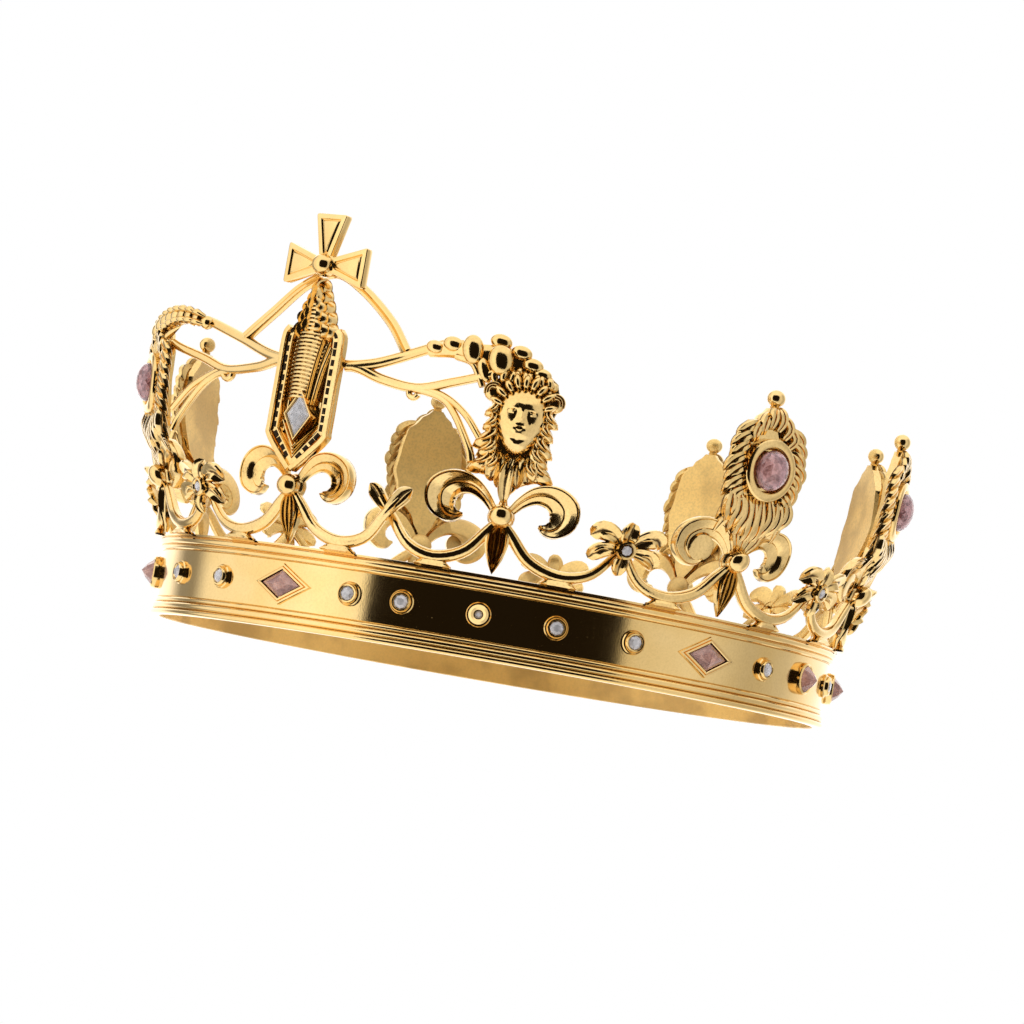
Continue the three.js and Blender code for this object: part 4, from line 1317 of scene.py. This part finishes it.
class CROWN_OT_jewelled(bpy.types.Operator):
    """Make the jewelled fleurons and their oval stones"""

    bl_idname = "crown.jewelled"
    bl_label = "Jewelled fleurons"

    def execute(self, context):
        for i, turn in enumerate(JEWELLED_TURNS):
            base = fleuron_base(turn, (1.02, 0.5), (0.9, 0.9), eyes=True)
            crest = side_crest() if turn == LEFT_TURN else knob()
            cast = rolled(merged([*base, *flame_plate(20 + i), oval_bezel(), *crest]), turn)
            keep(f"jewelled_cast_{i + 1}", cast, "antiqued_gold", [f"fleuron_jewelled_{i + 1}"])
            node = f"oval_stone_{i + 1}"
            keep(f"cut_{node}", rolled(rose_cut(), turn), "violet_pink_stone", [node], 0)
        return {"FINISHED"}


class CROWN_OT_lion(bpy.types.Operator):
    """Make the fleuron with the lion mask"""

    bl_idname = "crown.lion"
    bl_label = "Lion fleuron"

    def execute(self, context):
        base = fleuron_base(LION_TURN, (1.0, 3.0), (1.0, 1.4), left_cross=-1.6)
        cast = rolled(merged([*base, mane_back(), *mane(), lion_face(), *lion_crest()]), LION_TURN)
        keep("lion_cast", cast, "antiqued_gold", ["fleuron_lion"])
        return {"FINISHED"}


class CROWN_OT_centre(bpy.types.Operator):
    """Make the tall centre fleuron, its stone and the cross"""

    bl_idname = "crown.centre"
    bl_label = "Centre fleuron"

    def execute(self, context):
        base = fleuron_base(CENTRE_TURN, (0.95, 0.9), (0.95, 1.4), right_cross=1.9)
        cast = merged([*base, *tray_side(-1), *tray_side(1), *tray_filling(), clear_collet(), *husk()])
        stone = placed(cut_stone(4.3, 1.7, 2.2, 1.5, 4), 0, CLEAR_STONE_Y, 4.6, LOZENGE_SHAPE)
        cast, stone, cross = (
            rolled(part, CENTRE_TURN, lean=CENTRE_LEAN) for part in (cast, stone, merged(cross_parts()))
        )
        keep("centre_cast", cast, "antiqued_gold", ["fleuron_centre"])
        keep("cut_centre_stone", stone, "clear_stone", ["centre_stone"], 0)
        keep("cross_pattee", cross, "polished_gold", ["cross"])
        return {"FINISHED"}


class CROWN_OT_flowers(bpy.types.Operator):
    """Make the flowers between the fleurons and their small stones"""

    bl_idname = "crown.flowers"
    bl_label = "Flowers"

    def execute(self, context):
        for i, turn in enumerate(FLOWER_TURNS):
            cast = rolled(merged(flower()), turn)
            keep(f"flower_cast_{i + 1}", cast, "antiqued_gold", [f"flower_{i + 1}"])
            stone = rolled(placed(cut_stone(1.3, 0.5, 0.7, 0.7, 8), 0, FLOWER_Y, 5.6), turn)
            keep(f"flower_stone_{i + 1}", stone, "clear_stone", (), 0)
        return {"FINISHED"}


class CROWN_OT_carriers(bpy.types.Operator):
    """Make the two carriers and the arch behind the cross"""

    bl_idname = "crown.carriers"
    bl_label = "Carriers and arch"

    def execute(self, context):
        for side, reach in reaches().items():
            bars = rolled(merged(reach.parts()), CENTRE_TURN, lean=0)
            keep(f"scrolled_carrier_{side}", bars, "polished_gold", [f"carrier_{side}"])
        bent = rolled(merged(arch_parts()), CENTRE_TURN, lean=0)
        keep("bent_arch", bent, "polished_gold", ["arch"])
        return {"FINISHED"}


# Brightness of the room at each turn in degrees; 0 is behind the camera.
WALL_LIGHT = [
    (-180, 0.9), (-146, 0.95), (-134, 0.2), (-123, 0.2), (-114, 0.7), (-90, 0.75), (-60, 0.9), (-46, 0.8),
    (46, 0.5), (72, 0.56), (96, 0.36), (118, 0.42), (140, 0.8), (180, 0.9),
]
# The dark card's reach sideways and up or down, as squares of radians, and the card's colour.
CARD_WIDE, CARD_TALL = 0.593, 0.56
CARD = (0.008, 0.006, 0.004)
CEILING = (0.8, 0.8, 0.8)
ROOM_BRIGHTNESS = 1.65
FLOOR_RADIUS, FLOOR_DROP = 1.6, 0.0002


class CROWN_OT_stage(bpy.types.Operator):
    """Set the camera, the light and the pale floor"""

    bl_idname = "crown.stage"
    bl_label = "Stage"

    def execute(self, context):
        self.camera(context.scene)
        self.floor(context.scene)
        self.world(context.scene)
        context.scene.view_settings.view_transform = "Standard"
        return {"FINISHED"}

    @staticmethod
    def camera(scene):
        """A long lens aimed a little above and beside the middle of the crown's foot."""
        studio = scene.crown_studio
        back = Vector((0, -math.cos(studio.elevation), math.sin(studio.elevation)))
        right = Vector((1, 0, 0))
        up = back.cross(right)
        c, s = math.cos(studio.roll), math.sin(studio.roll)
        right, up = c * right + s * up, c * up - s * right
        aim = (-back + math.tan(studio.aim_right) * right + math.tan(studio.aim_up) * up).normalized()
        right = (right - aim * right.dot(aim)).normalized()
        up = right.cross(aim)
        placed_at = Matrix((right, up, -aim)).transposed().to_4x4()
        placed_at.translation = back * studio.distance
        data = bpy.data.cameras.new("studio_camera")
        data.lens = studio.lens
        data.sensor_width = 36
        data.clip_start = 0.05
        camera = bpy.data.objects.new("studio_camera", data)
        camera.matrix_world = placed_at
        scene.collection.objects.link(camera)
        scene.camera = camera

    @staticmethod
    def floor(scene):
        """A pale floor that is seen from above only."""
        part = bmesh.new()
        bmesh.ops.create_circle(part, cap_ends=True, segments=96, radius=FLOOR_RADIUS)
        bmesh.ops.translate(part, vec=(0, 0, -FLOOR_DROP), verts=part.verts)
        bmesh.ops.recalc_face_normals(part, faces=part.faces)
        mesh = bpy.data.meshes.new("pale_floor")
        part.to_mesh(mesh)
        part.free()
        if mesh.polygons[0].normal.z < 0:
            mesh.flip_normals()
        material = bpy.data.materials.new("pale_floor")
        finish = Finish(material)
        below = finish.node("ShaderNodeNewGeometry", output=6)
        pale = (*scene.crown_looks.floor, 1)
        matt = finish.node("ShaderNodeBsdfPrincipled", {}, {"Base Color": pale, "Roughness": 0.4})
        clear = finish.node("ShaderNodeBsdfTransparent")
        seen = finish.node("ShaderNodeMixShader", {}, {0: below, 1: matt, 2: clear})
        finish.node("ShaderNodeOutputMaterial", {}, {"Surface": seen})
        mesh.materials.append(material)
        floor = bpy.data.objects.new("pale_floor", mesh)
        floor.visible_glossy = False
        scene.collection.objects.link(floor)

    @staticmethod
    def world(scene):
        """White all round, with a dark card behind the camera that the polished gold mirrors."""
        world = bpy.data.worlds.new("studio")
        scene.world = world
        finish = Finish(world)
        way = finish.node("ShaderNodeTexCoord", output=0)
        parts = finish.node("ShaderNodeSeparateXYZ", {}, {0: way})
        x, y, z = (Signal(finish, parts.socket.node.outputs[i]) for i in range(3))
        turn = finish.math("ARCTAN2", x, y * -1.0)
        tilt = finish.math("ARCSINE", z)
        card = finish.ramp((turn * turn / CARD_WIDE) ** 2.0 + (tilt * tilt / CARD_TALL) ** 2.0, 1.16, 0.84)
        stops = [(0.5 + heading / 360, (light, light, light, 1)) for heading, light in WALL_LIGHT]
        walls = finish.node("ShaderNodeValToRGB", {"stops": stops}, {0: turn / (2 * math.pi) + 0.5})
        high = finish.ramp(tilt, 0.5, 1.0).most(finish.ramp(tilt, -0.7, -1.1))
        glow = finish.mix(high, walls, CEILING)
        shade = finish.vector("SCALE", {0: finish.mix(card, glow, CARD), "Scale": ROOM_BRIGHTNESS})
        camera_ray = finish.node("ShaderNodeLightPath", output=0)
        colour = finish.mix(camera_ray, shade, (1, 1, 1))
        lit = finish.node("ShaderNodeBackground", {}, {"Color": colour, "Strength": 1.0})
        finish.node("ShaderNodeOutputWorld", {}, {"Surface": lit})


PIECES = (
    CROWN_OT_stage,
    CROWN_OT_band,
    CROWN_OT_band_stones,
    CROWN_OT_jewelled,
    CROWN_OT_lion,
    CROWN_OT_centre,
    CROWN_OT_flowers,
    CROWN_OT_carriers,
)


class CROWN_PT_panel(bpy.types.Panel):
    """Lists the crown's pieces"""

    bl_idname = "CROWN_PT_panel"
    bl_label = "Crown"
    bl_space_type = "VIEW_3D"
    bl_region_type = "UI"
    bl_category = "Crown"

    def draw(self, context):
        for piece in PIECES:
            self.layout.operator(piece.bl_idname)
        for group in (context.scene.crown_sizes, context.scene.crown_looks, context.scene.crown_studio):
            box = self.layout.box()
            for name in group.__annotations__:
                box.prop(group, name)


CLASSES = (CrownSizes, CrownLooks, CrownStudio, *PIECES, CROWN_PT_panel)
GROUPS = {"crown_sizes": CrownSizes, "crown_looks": CrownLooks, "crown_studio": CrownStudio}


def register():
    for item in CLASSES:
        bpy.utils.register_class(item)
    for name, group in GROUPS.items():
        setattr(bpy.types.Scene, name, bpy.props.PointerProperty(type=group))


def unregister():
    for name in GROUPS:
        delattr(bpy.types.Scene, name)
    for item in reversed(CLASSES):
        bpy.utils.unregister_class(item)


def main():
    register()
    bpy.ops.crown.stage()
    bpy.ops.crown.band()
    bpy.ops.crown.band_stones()
    bpy.ops.crown.jewelled()
    bpy.ops.crown.lion()
    bpy.ops.crown.centre()
    bpy.ops.crown.flowers()
    bpy.ops.crown.carriers()


if __name__ == "__main__":
    main()
